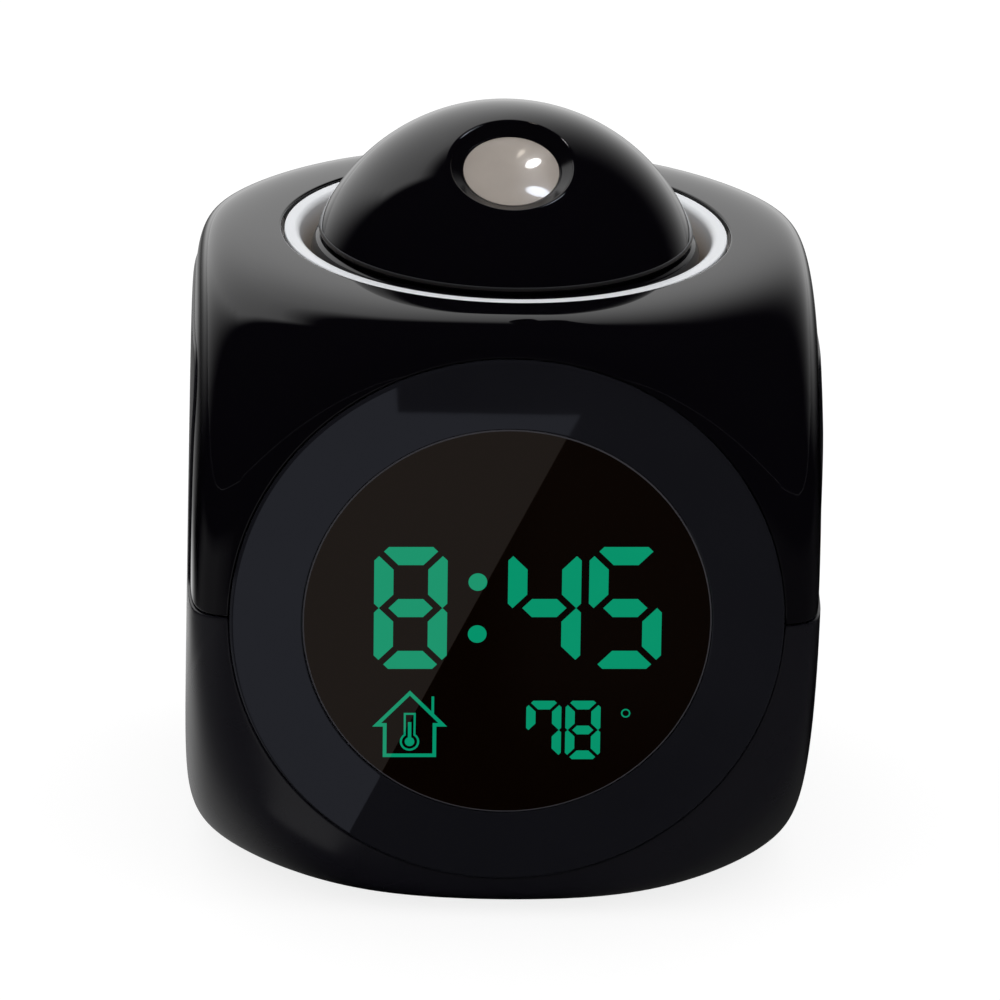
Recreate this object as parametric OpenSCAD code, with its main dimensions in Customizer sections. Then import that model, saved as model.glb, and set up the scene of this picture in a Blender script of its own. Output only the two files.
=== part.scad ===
// Projection alarm clock: a cube with ball-cut corners, a round display on the
// front and a domed projector head on top that presses down and swivels.
// Front is -Y, up is +Z, the origin is the middle of the footprint on the table.

/* [Body] */
// Width of the body
body_w = 82; // [78:1:90]
// Depth of the body
body_d = 79.2; // [77:0.2:86]
// Height of the body without its feet
body_h = 80.4; // [78:0.2:84]
// Radius of the ball that cuts the eight corners
corner_ball_r = 56.7; // [55:0.1:60]
// How sharply the faces turn into each other
edge_sharpness = 24; // [12:1:32]
// Wall of the housing
wall = 2.2; // [1.8:0.1:2.6]
// Thickness of the housing's floor
floor_t = 2.6; // [2.4:0.1:3.2]

/* [Seam] */
// Distance from the front face to the upright seam on the sides
seam_setback = 15; // [8:0.5:18]
// Distance from the top face down to the seam round the back
shoulder_drop = 11; // [9:0.5:13]
// Bend of the seam below the shoulder
shoulder_r = 8; // [4:0.5:10]
// Bend of the seam beside the display
notch_r = 3; // [1.5:0.5:5]
// Open line between hood and base
seam_gap = 0.2; // [0.1:0.05:0.4]
// How far the hood's sides lie inside the base's sides
hood_inset = 0.3; // [0:0.05:0.5]

/* [Display] */
// How far the display's middle lies above the body's middle
disc_lift = 0.5; // [0:0.1:0.8]
// Outer radius of the round bezel
disc_r = 35.6; // [34.8:0.1:36]
// Thickness of the bezel
bezel_t = 2.7; // [2.5:0.1:3]
// Chamfer round the bezel
bezel_chamfer = 0.6; // [0.3:0.1:1]
// Radius of the display window
window_r = 26.3; // [25:0.1:27]
// Thickness of the window
window_t = 1.5; // [1.2:0.1:1.6]
// How far the window lies below the bezel
window_recess = 0.25; // [0.1:0.05:0.4]
// Width of the ledge that carries the window
window_ledge = 1.4; // [1:0.1:2]
// Width of the liquid crystal panel
lcd_w = 44.8; // [42:0.2:45]
// Height of the liquid crystal panel
lcd_h = 38.8; // [36:0.2:39]
// Thickness of the liquid crystal panel
lcd_t = 1.8; // [1.5:0.1:2.1]
// How far the panel's middle lies below the window's middle
lcd_drop = 3; // [2:0.5:3.5]
// Depth of the frame that holds the panel
frame_t = 5.5; // [5.2:0.1:6]
// Thickness of the light guide
backlight_t = 3; // [2.2:0.1:3]
// Radius of the round main board
board_r = 32; // [30:0.5:32.5]
// Thickness of the circuit boards
board_t = 1.6; // [1.2:0.1:1.8]

/* [Light ring] */
// Outer radius of the white ring
ring_r = 29; // [28:0.1:29.5]
// Width of its flat rim
rim_w = 1.75; // [1:0.05:2.2]
// How far the rim lies below the hood's top
ring_sunk = 0.25; // [0:0.05:0.4]
// Radius of the funnel's lower mouth
funnel_r = 25.6; // [25.2:0.1:26.5]

/* [Head] */
// Radius of the dome
dome_r = 26.6; // [25.8:0.1:26.8]
// Dome centre below the top face
dome_drop = 9.7; // [9:0.1:11]
// Wall of the dome and its skirt
dome_wall = 1.8; // [1.4:0.1:2]
// Dome edge above the top face
edge_lift = 0.4; // [0.2:0.1:1]
// Outer radius of the skirt below the dome
skirt_r = 23.7; // [23.2:0.1:24]
// Depth of the head below the top face
head_depth = 19.7; // [19.4:0.1:20.4]
// Lens axis away from upright
lens_tilt = 26; // [20:1:28]
// Radius of the recess around the lens
recess_r = 8.1; // [7.8:0.1:8.6]
// How deep the lens lies in that recess
recess_depth = 0.5; // [0.3:0.1:1]
// How far the lens stands out of its seat
lens_bulge = 0.7; // [0.4:0.1:0.8]
// Radius of the projector lens
lens_r = 6.2; // [5.6:0.1:6.4]
// Wall of the projector tube
tube_wall = 1.1; // [0.9:0.1:1.3]
// Travel of the head when pressed
press_travel = 1.5; // [1:0.1:1.6]
// Radius of the swivel spigot
spigot_r = 4.95; // [4.5:0.05:5.2]
// Outer radius of the carriage hub
hub_r = 8; // [7.5:0.1:8.5]
// Swivel to each side
swivel_limit = 90; // [60:5:100]

/* [Back] */
// Radius of the push buttons
button_r = 3; // [2.5:0.1:3.4]
// Distance between two buttons
button_pitch = 11; // [10.2:0.2:11.6]
// Travel of a button
button_travel = 0.8; // [0.5:0.1:0.9]
// Height of the button row above the body's middle
button_up = 19.5; // [18:0.5:20]
// Radius of the speaker
speaker_r = 13.5; // [12.5:0.1:14]
// Speaker below the body's middle
speaker_down = 7.5; // [6:0.5:9]
// Sideways place of the socket and of the switch
port_x = 22; // [21.5:0.5:23]
// Height of socket and switch below the body's middle
port_down = 18.5; // [18:0.5:19]
// Bore radius of the power socket
jack_r = 1.75; // [1.5:0.05:2]
// Travel of the slide switch
slide_travel = 2.6; // [1.5:0.1:3]

/* [Battery bay] */
// Diameter of one cell
cell_d = 10.5; // [10.5:0.1:10.8]
// Length of one cell
cell_l = 44.5; // [44:0.1:45]
// Number of cells side by side
cell_count = 3; // [2:1:3]
// Free length of the coil contacts
coil_l = 3.6; // [3:0.1:4.5]
// Wall of the battery tray
tray_wall = 1.6; // [1.2:0.1:1.8]
// Thickness of the door
door_t = 2; // [1.8:0.1:2.2]
// Radius of the door's pivot pins
door_pin_r = 0.6; // [0.5:0.05:0.7]

/* [Feet and screws] */
// Radius of a foot pad
foot_r = 4; // [3.5:0.1:4.4]
// How far a foot stands below the floor
foot_proud = 0.5; // [0.4:0.1:1.5]
// How deep a foot is let into the floor
foot_inset = 1.2; // [0.8:0.1:1.4]
// Sideways place of the feet
foot_x = 19; // [16:0.5:23]
// Place of the feet forwards and backwards
foot_y = 23.5; // [23:0.5:26]
// Shank radius of the case screws
screw_r = 1.4; // [1.2:0.05:1.5]
// Head radius of the case screws
screw_head_r = 2.8; // [2.5:0.1:3]

/* [Fits] */
// Clearance between loosely fitted pieces
clearance = 0.3; // [0.2:0.05:0.35]
// Clearance of a piece in its own seat
seat = 0.1; // [0.05:0.01:0.12]
// Radial clearance of a turning or sliding fit
running_fit = 0.05; // [0.03:0.01:0.08]

/* [Hidden] */
$fn = 96;

// Levels of the body
floor_z = foot_proud;
top_z = foot_proud + body_h;
mid_z = foot_proud + body_h / 2;
disc_z = mid_z + disc_lift;
front_y = -body_d / 2;
back_y = body_d / 2;
inner_front_y = front_y + wall;
inner_back_y = back_y - wall;
inner_top_z = top_z - wall;
inner_floor_z = floor_z + floor_t;
cavity_ball_r = corner_ball_r - 2 * wall;
cut = 1;
far = 2 * corner_ball_r;

// Skin of the body: rings of points from pole to pole, closer near the edges
octant_steps = 7;
spread = 1.5;
around = 8 * octant_steps;
rings = 4 * octant_steps;
function octant(i) =
    let (k = floor(i / octant_steps), t = i / octant_steps - k)
    45 * k + 45 * (k % 2 == 0 ? 1 - pow(1 - t, spread) : pow(t, spread));
function reach(d, w) =
    1 / pow(pow(abs(d.x) * 2 / w, edge_sharpness) + pow(abs(d.y) * 2 / body_d, edge_sharpness)
        + pow(abs(d.z) * 2 / body_h, edge_sharpness) + pow(1 / corner_ball_r, edge_sharpness),
        1 / edge_sharpness);
function skin_point(up, turn, w) =
    let (d = [cos(up) * cos(turn), cos(up) * sin(turn), sin(up)]) d * reach(d, w);

// Seam between hood and base, seen from the side
seam_y = front_y + seam_setback;
shoulder_z = top_z - shoulder_drop;
arc_steps = 8;
function arc(c, r, from, to) =
    [for (i = [0:arc_steps]) let (a = from + (to - from) * i / arc_steps) c + r * [cos(a), sin(a)]];

// Tabs of the hood that reach down inside the base and keep the seam in line
tab_w = 4;
tab_t = 1.4;
tab_reach = 3;
tab_x = 14;

// Display stack, from the front inwards
window_y = front_y + window_recess;
window_rebate = 0.35;
bezel_back_y = front_y + bezel_t;
lcd_lip = 0.6;
lcd_seat_y = bezel_back_y + lcd_lip;
lcd_back_y = lcd_seat_y + lcd_t;
board_y = bezel_back_y + frame_t;
board_back_y = board_y + board_t;
opening_r = disc_r + clearance;
ledge_w = 2.2;
seat_ring_r = opening_r + wall;
seat_ring_t = 2.5;
frame_r = disc_r - ledge_w - clearance;
lcd_z = disc_z - lcd_drop;
lcd_pocket = 0.4;
lcd_border = 2;
view_w = lcd_w - 2 * lcd_border;
view_h = lcd_h - 2 * lcd_border;
zebra_h = 3;
zebra_margin = 1.2;

// Main board: its screws keep clear of the panel and of the well behind it
board_edge = 4;
board_screw_turns = [15, 165, 245, 295];
board_screw_ring = board_r - board_edge;
board_screw_r = 0.9;
board_screw_head_r = 1.9;
board_screw_bite = 3.5;
// Chips as shares of the board's radius: sideways, up, size
blob = board_r * [-0.19, -0.31, 0.17];
driver = board_r * [0.34, -0.41, 0.31];
crystal = board_r * [0.56, 0.25, 0.05];
resistor = board_r * [-0.59, -0.66, 0.06];
chip_t = 1.4;

// Screws that hold boards, clamp and well
tap_r = 1;
tap_head_r = 2;
tap_head_t = 1.2;
tap_bite = 3;

// Light ring and the well below it
ring_top_z = top_z - ring_sunk;
ring_flange_w = 1;
ring_flange_r = ring_r + ring_flange_w;
ring_flange_t = 1.4;
ring_waist = 0.6;
ring_edge = 0.2;
funnel_depth = 6.7;
ring_bottom_z = top_z - funnel_depth;
well_wall = 1.8;
well_room = 1.3;
well_r = skirt_r + well_room + well_wall;
well_top_z = ring_bottom_z - seat;
well_flange_w = 2.7;
well_flange_r = well_r + well_flange_w;
well_flange_t = 1.6;
ear_out = 5.5;
ear_ring = ring_r + ear_out;
ear_r = 2.6;

// Head, carriage and switch, from the top downwards
dome_z = top_z - dome_drop;
edge_z = top_z + edge_lift;
head_floor_z = top_z - head_depth;
head_floor_t = 2;
skirt_draft = 1.2;
lip_h = 1.2;
lip_w = 0.9;
thrust_t = 1.5;
thrust_w = 5;
thrust_gap = 1;
plate_t = 2;
plate_top_z = head_floor_z - seat - thrust_t;
plate_z = plate_top_z - plate_t;
spring_l = 4.9;
well_floor_t = 2;
well_floor_z = plate_z - spring_l;
well_z = well_floor_z - well_floor_t;
clip_t = 0.8;
clip_w = 3;
clip_groove = 0.8;
clip_z = well_z - clearance - clip_t;
hub_end = 2.9;
hub_z = clip_z - hub_end;
washer_t = 0.8;
washer_rim = 1.6;
washer_z = hub_z - seat - washer_t;
swivel_head_r = 2.6;
swivel_head_t = 1;
swivel_shank_r = 1.4;
swivel_bite = 6;
snooze_gap = 0.2;
snooze_top_z = washer_z - swivel_head_t - press_travel - snooze_gap;
snooze_h = 3.6;
snooze_half = 3;
snooze_tip = 0.8;
snooze_tip_r = 1.7;
snooze_board_z = snooze_top_z - snooze_h - board_t;
snooze_board_w = 12;
plate_r = 20.5;
key_w = 4;
key_into = 0.9;
key_r = well_r - key_into;
stop_ring = 16;
stop_r = 1.25;
stop_turn = asin((stop_r + clearance) / stop_ring);
post_x = 13;
post_wide_r = 2.2;
spring_r = 11;
spring_wire = 0.9;
spring_turns = 2.5;

// Lens barrel, measured from the dome's centre along the lens axis
mouth_s = sqrt(dome_r * dome_r - recess_r * recess_r);
lens_front_s = mouth_s - recess_depth;
lens_t = 2.6;
lens_stand = 0.5;
flatness = 1.6;
tube_gap = 0.6;
tube_top_s = lens_front_s - lens_t - tube_gap;
tube_r = lens_r + seat + tube_wall;
tube_tail = 3;
led_board_t = 1.4;
led_r = 2;
led_l = 3;
led_base_t = 1;
led_base_rim = 0.6;
condenser_t = 3;
condenser_s = 6;
slide_s = 8;
slide_t = 1.2;
slide_share = 1.36;
mount_rim = 2.5;
mount_h = 6;
mount_front = 6;
mount_back = 8;

// Back panel
button_z = mid_z + button_up;
button_count = 5;
panel_half = (button_count - 1) / 2 * button_pitch;
panel_depth = 0.7;
panel_rim = 1.5;
flange_t = 1;
flange_w = 1.2;
button_edge = 0.4;
button_board_gap = 4.8;
button_board_t = 1.2;
button_board_h = 12;
button_board_end = 6;
button_board_y = inner_back_y - button_board_gap;
button_screw_x = panel_half - button_pitch / 2;
button_screw_ring = button_r + flange_w + clearance + tap_head_r;
button_screw_z = button_z + sqrt(max(0, pow(button_screw_ring, 2) - pow(button_pitch / 2, 2)));
tact_gap = 0.2;
tact_half = 2.2;
tact_tip = 0.6;
tact_tip_r = 1.2;
speaker_z = mid_z - speaker_down;
speaker_front_y = inner_back_y - seat;
speaker_lip = speaker_r * 0.074;
speaker_slots = 4;
speaker_slot_w = 1.5;
speaker_slot_margin = 1.5;
speaker_slot_spread = 0.92;
speaker_ear_out = 4;
speaker_ear_x = speaker_r + speaker_ear_out;
speaker_ear_r = 2.6;
speaker_boss_r = 2.4;
speaker_clamp_t = 1.5;
speaker_clamp_rim = 1.5;
speaker_clamp_lap = 0.6;
speaker_clamp_y = speaker_front_y - speaker_lip;
speaker_bite = 1.9;
rib_t = 1.2;

// Socket and slide switch
port_z = mid_z - port_down;
jack_nose_r = 3.7;
jack_depth = 9;
jack_block = 9;
jack_block_l = 12;
jack_step = 0.4;
jack_pin_l = 1.6;
jack_pin_gap = 0.1;
knob_w = 2.6;
knob_h = 2.4;
knob_root = 2;
knob_sunk = 0.2;
knob_ridge = [0.8, 0.3, 0.25];
slot_half = knob_w / 2 + slide_travel / 2 + clearance;
track_rim = 1;
switch_rim = 1.2;
switch_depth = 4.2;
cradle_h = 6;

// Battery bay
tray_room = [1.1, 2, 0.7];
tray_in_x = cell_l + coil_l + tray_room.x;
tray_in_y = cell_count * cell_d + tray_room.y;
tray_in_h = cell_d + tray_room.z;
tray_z = inner_floor_z + seat;
tray_rib_w = 0.8;
tray_rib_h = 2.2;
cell_z = tray_z + cell_d / 2;
contact_t = 0.4;
contact_w = 7.8;
contact_margin = 0.8;
coil_base_r = 3.3;
coil_tip_r = 1.8;
coil_turns = 2.5;
coil_wire = 0.35;
coil_sides = 5;
coil_steps = 14;
door_over_x = 0.3;
door_over_y = 1.4;
door_x = tray_in_x + door_over_x;
door_y = tray_in_y + door_over_y;
door_gap = 0.25;
door_axis_in = 1.2;
door_axis_y = door_y / 2 - door_axis_in;
door_axis_z = floor_z + door_axis_in;
door_pin_l = 1.2;
door_rib_w = 8;
door_rib_t = 1;
grip_count = 4;
grip_l = 10;
grip_w = 0.6;
grip_d = 0.4;
grip_pitch = 1.4;
grip_in = 3;
nail_r = 1.4;
nail_l = 3;

// Screw posts that join base and hood, and the ribbon that passes them
post_out = 2;
post_pos_x = ring_flange_r + post_out;
post_pos_y = 9;
post_r = 4.2;
hood_post_r = 3;
post_drop = 16;
post_top_z = mid_z - post_drop;
screw_sink = 9;
screw_seat_z = floor_z + screw_sink;
screw_head_t = 2;
screw_bite = 10;
ribbon_w = 10;
ribbon_t = 0.4;
ribbon_down = 7;
ribbon_lap = 3;
ribbon_x = hood_post_r + clearance + ribbon_w / 2 - post_pos_x;
ribbon_z = disc_z - ribbon_down;
plug_t = 2;
plug_h = 3;

// ---------- shared shapes ----------
module rod_y(x, z, y0, y1, r) {
    translate([x, y0, z]) rotate([-90, 0, 0]) cylinder(h = y1 - y0, r = r);
}

module rod_z(x, y, z0, z1, r) {
    translate([x, y, z0]) cylinder(h = z1 - z0, r = r);
}

module block(x, y, z) {
    translate([x[0], y[0], z[0]]) cube([x[1] - x[0], y[1] - y[0], z[1] - z[0]]);
}

module front_turn() {
    translate([0, front_y, disc_z]) rotate([-90, 0, 0]) rotate_extrude() children();
}

module at_lens_axis() {
    translate([0, 0, dome_z]) rotate([lens_tilt, 0, 0]) children();
}

module four_ways(x, y) {
    for (sx = [-1, 1], sy = [-1, 1]) translate([sx * x, sy * y, 0]) children();
}

module pan_screw(head_r, head_t, shank_r, shank_l) {
    slot = head_r * 0.22;
    difference() {
        union() {
            translate([0, 0, -head_t]) cylinder(h = head_t, r = head_r);
            cylinder(h = shank_l, r = shank_r);
        }
        for (a = [0, 90]) rotate(a) translate([-head_r * 0.6, -slot / 2, -head_t - cut])
            cube([head_r * 1.2, slot, cut + head_t / 2]);
    }
}

// Tapping screw along +Z, its head below the level it holds
module tap_screw(hold) {
    pan_screw(tap_head_r, tap_head_t, tap_r, hold + tap_bite);
}

module at_ears() {
    for (a = [45:90:315]) rotate(a) translate([ear_ring, 0, 0]) children();
}

module at_board_screws(y) {
    for (a = board_screw_turns)
        translate([board_screw_ring * cos(a), y, disc_z + board_screw_ring * sin(a)]) children();
}

module at_buttons() {
    for (i = [0:button_count - 1])
        translate([i * button_pitch - panel_half, 0, button_z]) children();
}

// Outer skin of the body at a width of w
module body_skin(w) {
    points = concat([[0, 0, reach([0, 0, -1], w) * -1]],
        [for (j = [1:rings - 1], i = [0:around - 1]) skin_point(octant(j) - 90, octant(i), w)],
        [[0, 0, reach([0, 0, 1], w)]]);
    last = len(points) - 1;
    function id(j, i) = 1 + (j - 1) * around + i % around;
    faces = concat(
        [for (i = [0:around - 1]) [0, id(1, i), id(1, i + 1)]],
        [for (j = [1:rings - 2], i = [0:around - 1]) [id(j, i), id(j + 1, i), id(j + 1, i + 1)]],
        [for (j = [1:rings - 2], i = [0:around - 1]) [id(j, i), id(j + 1, i + 1), id(j, i + 1)]],
        [for (i = [0:around - 1]) [last, id(rings - 1, i + 1), id(rings - 1, i)]]);
    translate([0, 0, mid_z]) polyhedron(points, faces);
}

module base_side(grow) {
    r = shoulder_r + grow;
    n = notch_r - grow;
    y = seam_y - grow;
    z = shoulder_z + grow;
    low = disc_z + grow;
    outline = concat([[-far, -far], [-far, low]],
        arc([y - n, low + n], n, 270, 360),
        arc([y + r, z - r], r, 180, 90),
        [[far, z], [far, -far]]);
    translate([-far, 0, 0]) rotate([90, 0, 90]) linear_extrude(2 * far) polygon(outline);
}

module cavity() {
    difference() {
        intersection() {
            translate([0, 0, mid_z]) sphere(r = cavity_ball_r);
            block([wall - body_w / 2, body_w / 2 - wall], [inner_front_y, inner_back_y],
                [inner_floor_z, inner_top_z]);
        }
        rod_y(0, disc_z, inner_front_y - cut, bezel_back_y + seat_ring_t, seat_ring_r);
    }
    rod_y(0, disc_z, front_y - cut, bezel_back_y, opening_r);
    rod_y(0, disc_z, front_y, bezel_back_y + seat_ring_t + cut, disc_r - ledge_w);
}

// ---------- housing ----------
module base_housing() {
    color("#17171b") difference() {
        union() {
            difference() {
                intersection() {
                    body_skin(body_w);
                    base_side(0);
                }
                cavity();
            }
            four_ways(post_pos_x, post_pos_y)
                rod_z(0, 0, inner_floor_z - cut, post_top_z, post_r);
            back_bosses();
        }
        four_ways(post_pos_x, post_pos_y) {
            rod_z(0, 0, floor_z - cut, screw_seat_z, screw_head_r + seat);
            rod_z(0, 0, floor_z, post_top_z + cut, screw_r + seat);
        }
        four_ways(foot_x, foot_y) rod_z(0, 0, floor_z - cut, floor_z + foot_inset, foot_r + seat);
        door_opening();
        back_cuts();
    }
}

// Seats on the inside of the back: key board, speaker, socket and slide switch
module back_bosses() {
    for (s = [-1, 1]) {
        rod_y(s * button_screw_x, button_screw_z, button_board_y + button_board_t, inner_back_y + cut,
            tap_head_r);
        rod_y(s * speaker_ear_x, speaker_z, speaker_clamp_y, inner_back_y + cut, speaker_boss_r);
    }
    difference() {
        rod_y(0, speaker_z, speaker_clamp_y + seat, inner_back_y + cut, speaker_r + seat + rib_t);
        rod_y(0, speaker_z, speaker_clamp_y, inner_back_y, speaker_r + seat);
    }
    cradle(port_x, jack_block / 2, jack_block_l * 2 / 3);
    cradle(-port_x, slot_half + switch_rim, switch_depth);
}

module cradle(x, half, depth) {
    for (s = [-1, 1]) translate([x + s * (half + seat + rib_t / 2), 0, 0])
        block([-rib_t / 2, rib_t / 2], [inner_back_y - depth, inner_back_y + cut],
            [port_z - cradle_h / 2, port_z + cradle_h / 2]);
}

module door_opening() {
    block([-door_x / 2 - door_gap, door_x / 2 + door_gap],
        [-door_y / 2 - door_gap, door_y / 2 + door_gap], [floor_z - cut, inner_floor_z + cut]);
    translate([0, door_axis_y, door_axis_z]) rotate([0, 90, 0])
        cylinder(h = door_x + 2 * door_pin_l + 4 * door_gap, r = door_pin_r + running_fit, center = true);
    rod_y(0, floor_z, -door_y / 2 - nail_l, -door_y / 2, nail_r);
}

module back_cuts() {
    block([-panel_half, panel_half], [back_y - panel_depth, back_y + cut],
        [button_z - button_r - panel_rim, button_z + button_r + panel_rim]);
    for (s = [-1, 1]) {
        rod_y(s * panel_half, button_z, back_y - panel_depth, back_y + cut, button_r + panel_rim);
        rod_y(s * button_screw_x, button_screw_z, button_board_y, button_board_y + button_board_t + tap_bite,
            tap_r + running_fit);
        rod_y(s * speaker_ear_x, speaker_z, speaker_clamp_y - cut, speaker_clamp_y + speaker_bite + seat,
            tap_r + running_fit);
    }
    at_buttons() rod_y(0, 0, inner_back_y - cut, back_y + cut, button_r + clearance);
    slot_ring = speaker_r - speaker_slot_margin;
    for (i = [-speaker_slots:speaker_slots]) {
        x = i * slot_ring / speaker_slots * speaker_slot_spread;
        h = sqrt(pow(slot_ring, 2) - x * x);
        block([x - speaker_slot_w / 2, x + speaker_slot_w / 2], [inner_back_y - cut, back_y + cut],
            [speaker_z - h, speaker_z + h]);
    }
    rod_y(port_x, port_z, inner_back_y - cut, back_y + cut, jack_nose_r + clearance);
    track_h = knob_h / 2 + clearance;
    block([-port_x - slot_half, -port_x + slot_half], [inner_back_y - cut, back_y + cut],
        [port_z - track_h, port_z + track_h]);
    block([-port_x - slot_half - track_rim, -port_x + slot_half + track_rim],
        [back_y - panel_depth, back_y + cut], [port_z - track_h - track_rim, port_z + track_h + track_rim]);
}

module hood() {
    color("#0a0a0d") difference() {
        union() {
            difference() {
                body_skin(body_w - 2 * hood_inset);
                base_side(seam_gap);
                cavity();
            }
            four_ways(post_pos_x, post_pos_y)
                rod_z(0, 0, post_top_z + seat, inner_top_z + cut, hood_post_r);
            at_ears() rod_z(0, 0, well_top_z, inner_top_z + cut, ear_r - seat);
            for (s = [-1, 1]) {
                translate([s * tab_x, inner_back_y, 0]) tab();
                rotate(s * 90) translate([0, body_w / 2 - wall, 0]) tab();
            }
        }
        rod_z(0, 0, inner_top_z - cut, top_z + cut, ring_r + clearance / 2);
        four_ways(post_pos_x, post_pos_y)
            rod_z(0, 0, post_top_z, post_top_z + screw_bite + 2 * cut, screw_r + running_fit);
        at_ears() rod_z(0, 0, well_top_z - cut, well_top_z + tap_bite + clearance, tap_r + running_fit);
    }
}

// Locating tab on a wall whose inner face lies at y = 0; it hangs from the roof
module tab() {
    step_z = shoulder_z + seam_gap + clearance;
    outline = [[-seat - tab_t, shoulder_z - tab_reach], [-seat, shoulder_z - tab_reach], [-seat, step_z],
        [wall / 3, step_z], [wall / 3, inner_top_z + wall / 3], [-seat - tab_t, inner_top_z + wall / 3]];
    translate([-tab_w / 2, 0, 0]) rotate([90, 0, 90]) linear_extrude(tab_w) polygon(outline);
}

module feet() {
    color("#26262a") four_ways(foot_x, foot_y) rod_z(0, 0, 0, floor_z + foot_inset - seat, foot_r);
}

module case_screws() {
    color("#8d9096") four_ways(post_pos_x, post_pos_y) translate([0, 0, screw_seat_z])
        pan_screw(screw_head_r, screw_head_t, screw_r, post_top_z + screw_bite - screw_seat_z);
}

// ---------- display ----------
module bezel_ring() {
    in_r = window_r - window_ledge;
    seat_r = window_r + seat;
    rebate = window_recess + window_t;
    color("#121216") front_turn() polygon([[in_r, bezel_t], [in_r, rebate], [seat_r, rebate],
        [seat_r, window_rebate], [seat_r + window_rebate, 0], [disc_r - bezel_chamfer, 0],
        [disc_r, bezel_chamfer], [disc_r, bezel_t]]);
}

module display_window() {
    color("#14100e") rod_y(0, disc_z, window_y, window_y + window_t, window_r);
}

module lcd_frame() {
    pocket_w = lcd_w / 2 + lcd_pocket / 2;
    pocket_h = lcd_h / 2 + lcd_pocket / 2;
    color("#1c1c20") difference() {
        rod_y(0, disc_z, bezel_back_y, board_y, frame_r);
        block([-view_w / 2, view_w / 2], [bezel_back_y - cut, lcd_seat_y + cut],
            [lcd_z - view_h / 2, lcd_z + view_h / 2]);
        block([-pocket_w, pocket_w], [lcd_seat_y, board_y + cut], [lcd_z - pocket_h, lcd_z + pocket_h]);
        at_board_screws(0)
            rod_y(0, 0, board_back_y - board_t - board_screw_bite - seat, board_y + cut,
                board_screw_r + running_fit);
    }
}

module lcd_panel() {
    color("#0f4436") block([-lcd_w / 2, lcd_w / 2], [lcd_seat_y, lcd_back_y],
        [lcd_z - lcd_h / 2, lcd_z + lcd_h / 2]);
}

module backlight_panel() {
    color("#dfe8e4") block([-lcd_w / 2, lcd_w / 2], [lcd_back_y, lcd_back_y + backlight_t],
        [lcd_z - lcd_h / 2 + zebra_h + 2 * zebra_margin, lcd_z + lcd_h / 2]);
}

module zebra_strip() {
    color("#c9a7a0") block([-lcd_w / 2 + zebra_margin, lcd_w / 2 - zebra_margin], [lcd_back_y, board_y],
        [lcd_z - lcd_h / 2 + zebra_margin, lcd_z - lcd_h / 2 + zebra_margin + zebra_h]);
}

// The board makes way for the well, where a shallow body brings the two together
module main_board() {
    color("#1f6b3a") difference() {
        rod_y(0, disc_z, board_y, board_back_y, board_r);
        at_board_screws(0) rod_y(0, 0, board_y - cut, board_back_y + cut, board_screw_r + seat);
        rod_z(0, 0, well_z - clearance, top_z, well_r + clearance);
        rod_z(0, 0, well_top_z - well_flange_t - clearance, top_z, well_flange_r + seat);
    }
}

module board_chips() {
    y = board_back_y;
    color("#101012") {
        rod_y(blob[0], disc_z + blob[1], y, y + chip_t, blob[2]);
        translate([driver[0], 0, disc_z + driver[1]]) block([-driver[2] / 2, driver[2] / 2],
            [y, y + chip_t], [-driver[2] / 2, driver[2] / 2]);
        rod_y(crystal[0], disc_z + crystal[1], y, y + chip_t, crystal[2]);
        for (i = [0:3]) translate([resistor[0] + 2 * i * resistor[2], 0, disc_z + resistor[1]])
            block([0, resistor[2]], [y, y + chip_t / 2], [0, resistor[2] / 2]);
        block([ribbon_x - ribbon_w / 2, ribbon_x + ribbon_w / 2], [y, y + plug_t],
            [ribbon_z - plug_h, ribbon_z]);
    }
}

module board_screws() {
    color("#8d9096") {
        at_board_screws(board_back_y) rotate([90, 0, 0])
            pan_screw(board_screw_head_r, tap_head_t, board_screw_r, board_t + board_screw_bite);
        for (s = [-1, 1]) translate([s * button_screw_x, button_board_y, button_screw_z])
            rotate([-90, 0, 0]) pan_screw(tap_head_r, tap_head_t, tap_r, button_board_t + tap_bite - seat);
    }
}

module ribbon_cable() {
    x = [ribbon_x - ribbon_w / 2, ribbon_x + ribbon_w / 2];
    color("#8a8f96") {
        block(x, [board_back_y, button_board_y], [ribbon_z, ribbon_z + ribbon_t]);
        block(x, [button_board_y - ribbon_t, button_board_y],
            [ribbon_z, button_z - button_board_h / 2 + ribbon_lap]);
    }
}

// ---------- back ----------
module button_board() {
    half = panel_half + button_board_end;
    color("#1f6b3a") difference() {
        block([-half, half], [button_board_y, button_board_y + button_board_t],
            [button_z - button_board_h / 2, button_z + button_board_h / 2]);
        for (s = [-1, 1]) rod_y(s * button_screw_x, button_screw_z, button_board_y - cut,
            button_board_y + button_board_t + cut, tap_r + seat);
    }
}

module tact_switches() {
    low_y = button_board_y + button_board_t;
    top_y = inner_back_y - seat - flange_t - button_travel - tact_gap;
    color("#3a3a3e") at_buttons() {
        block([-tact_half, tact_half], [low_y, top_y - tact_tip], [-tact_half, tact_half]);
        rod_y(0, 0, low_y, top_y, tact_tip_r);
    }
}

module push_button(i) {
    flange_y = inner_back_y - seat;
    color("#2b2b30") translate([i * button_pitch - panel_half, 0, button_z]) rotate([-90, 0, 0])
        rotate_extrude() polygon([[0, flange_y - flange_t], [button_r + flange_w, flange_y - flange_t],
            [button_r + flange_w, flange_y], [button_r, flange_y], [button_r, back_y - button_edge],
            [button_r - button_edge, back_y], [0, back_y]]);
}

// Speaker pieces are turned profiles given in shares of the speaker's radius
module back_turn() {
    translate([0, speaker_front_y, speaker_z]) rotate([90, 0, 0]) rotate_extrude()
        scale(speaker_r) children();
}

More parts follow.
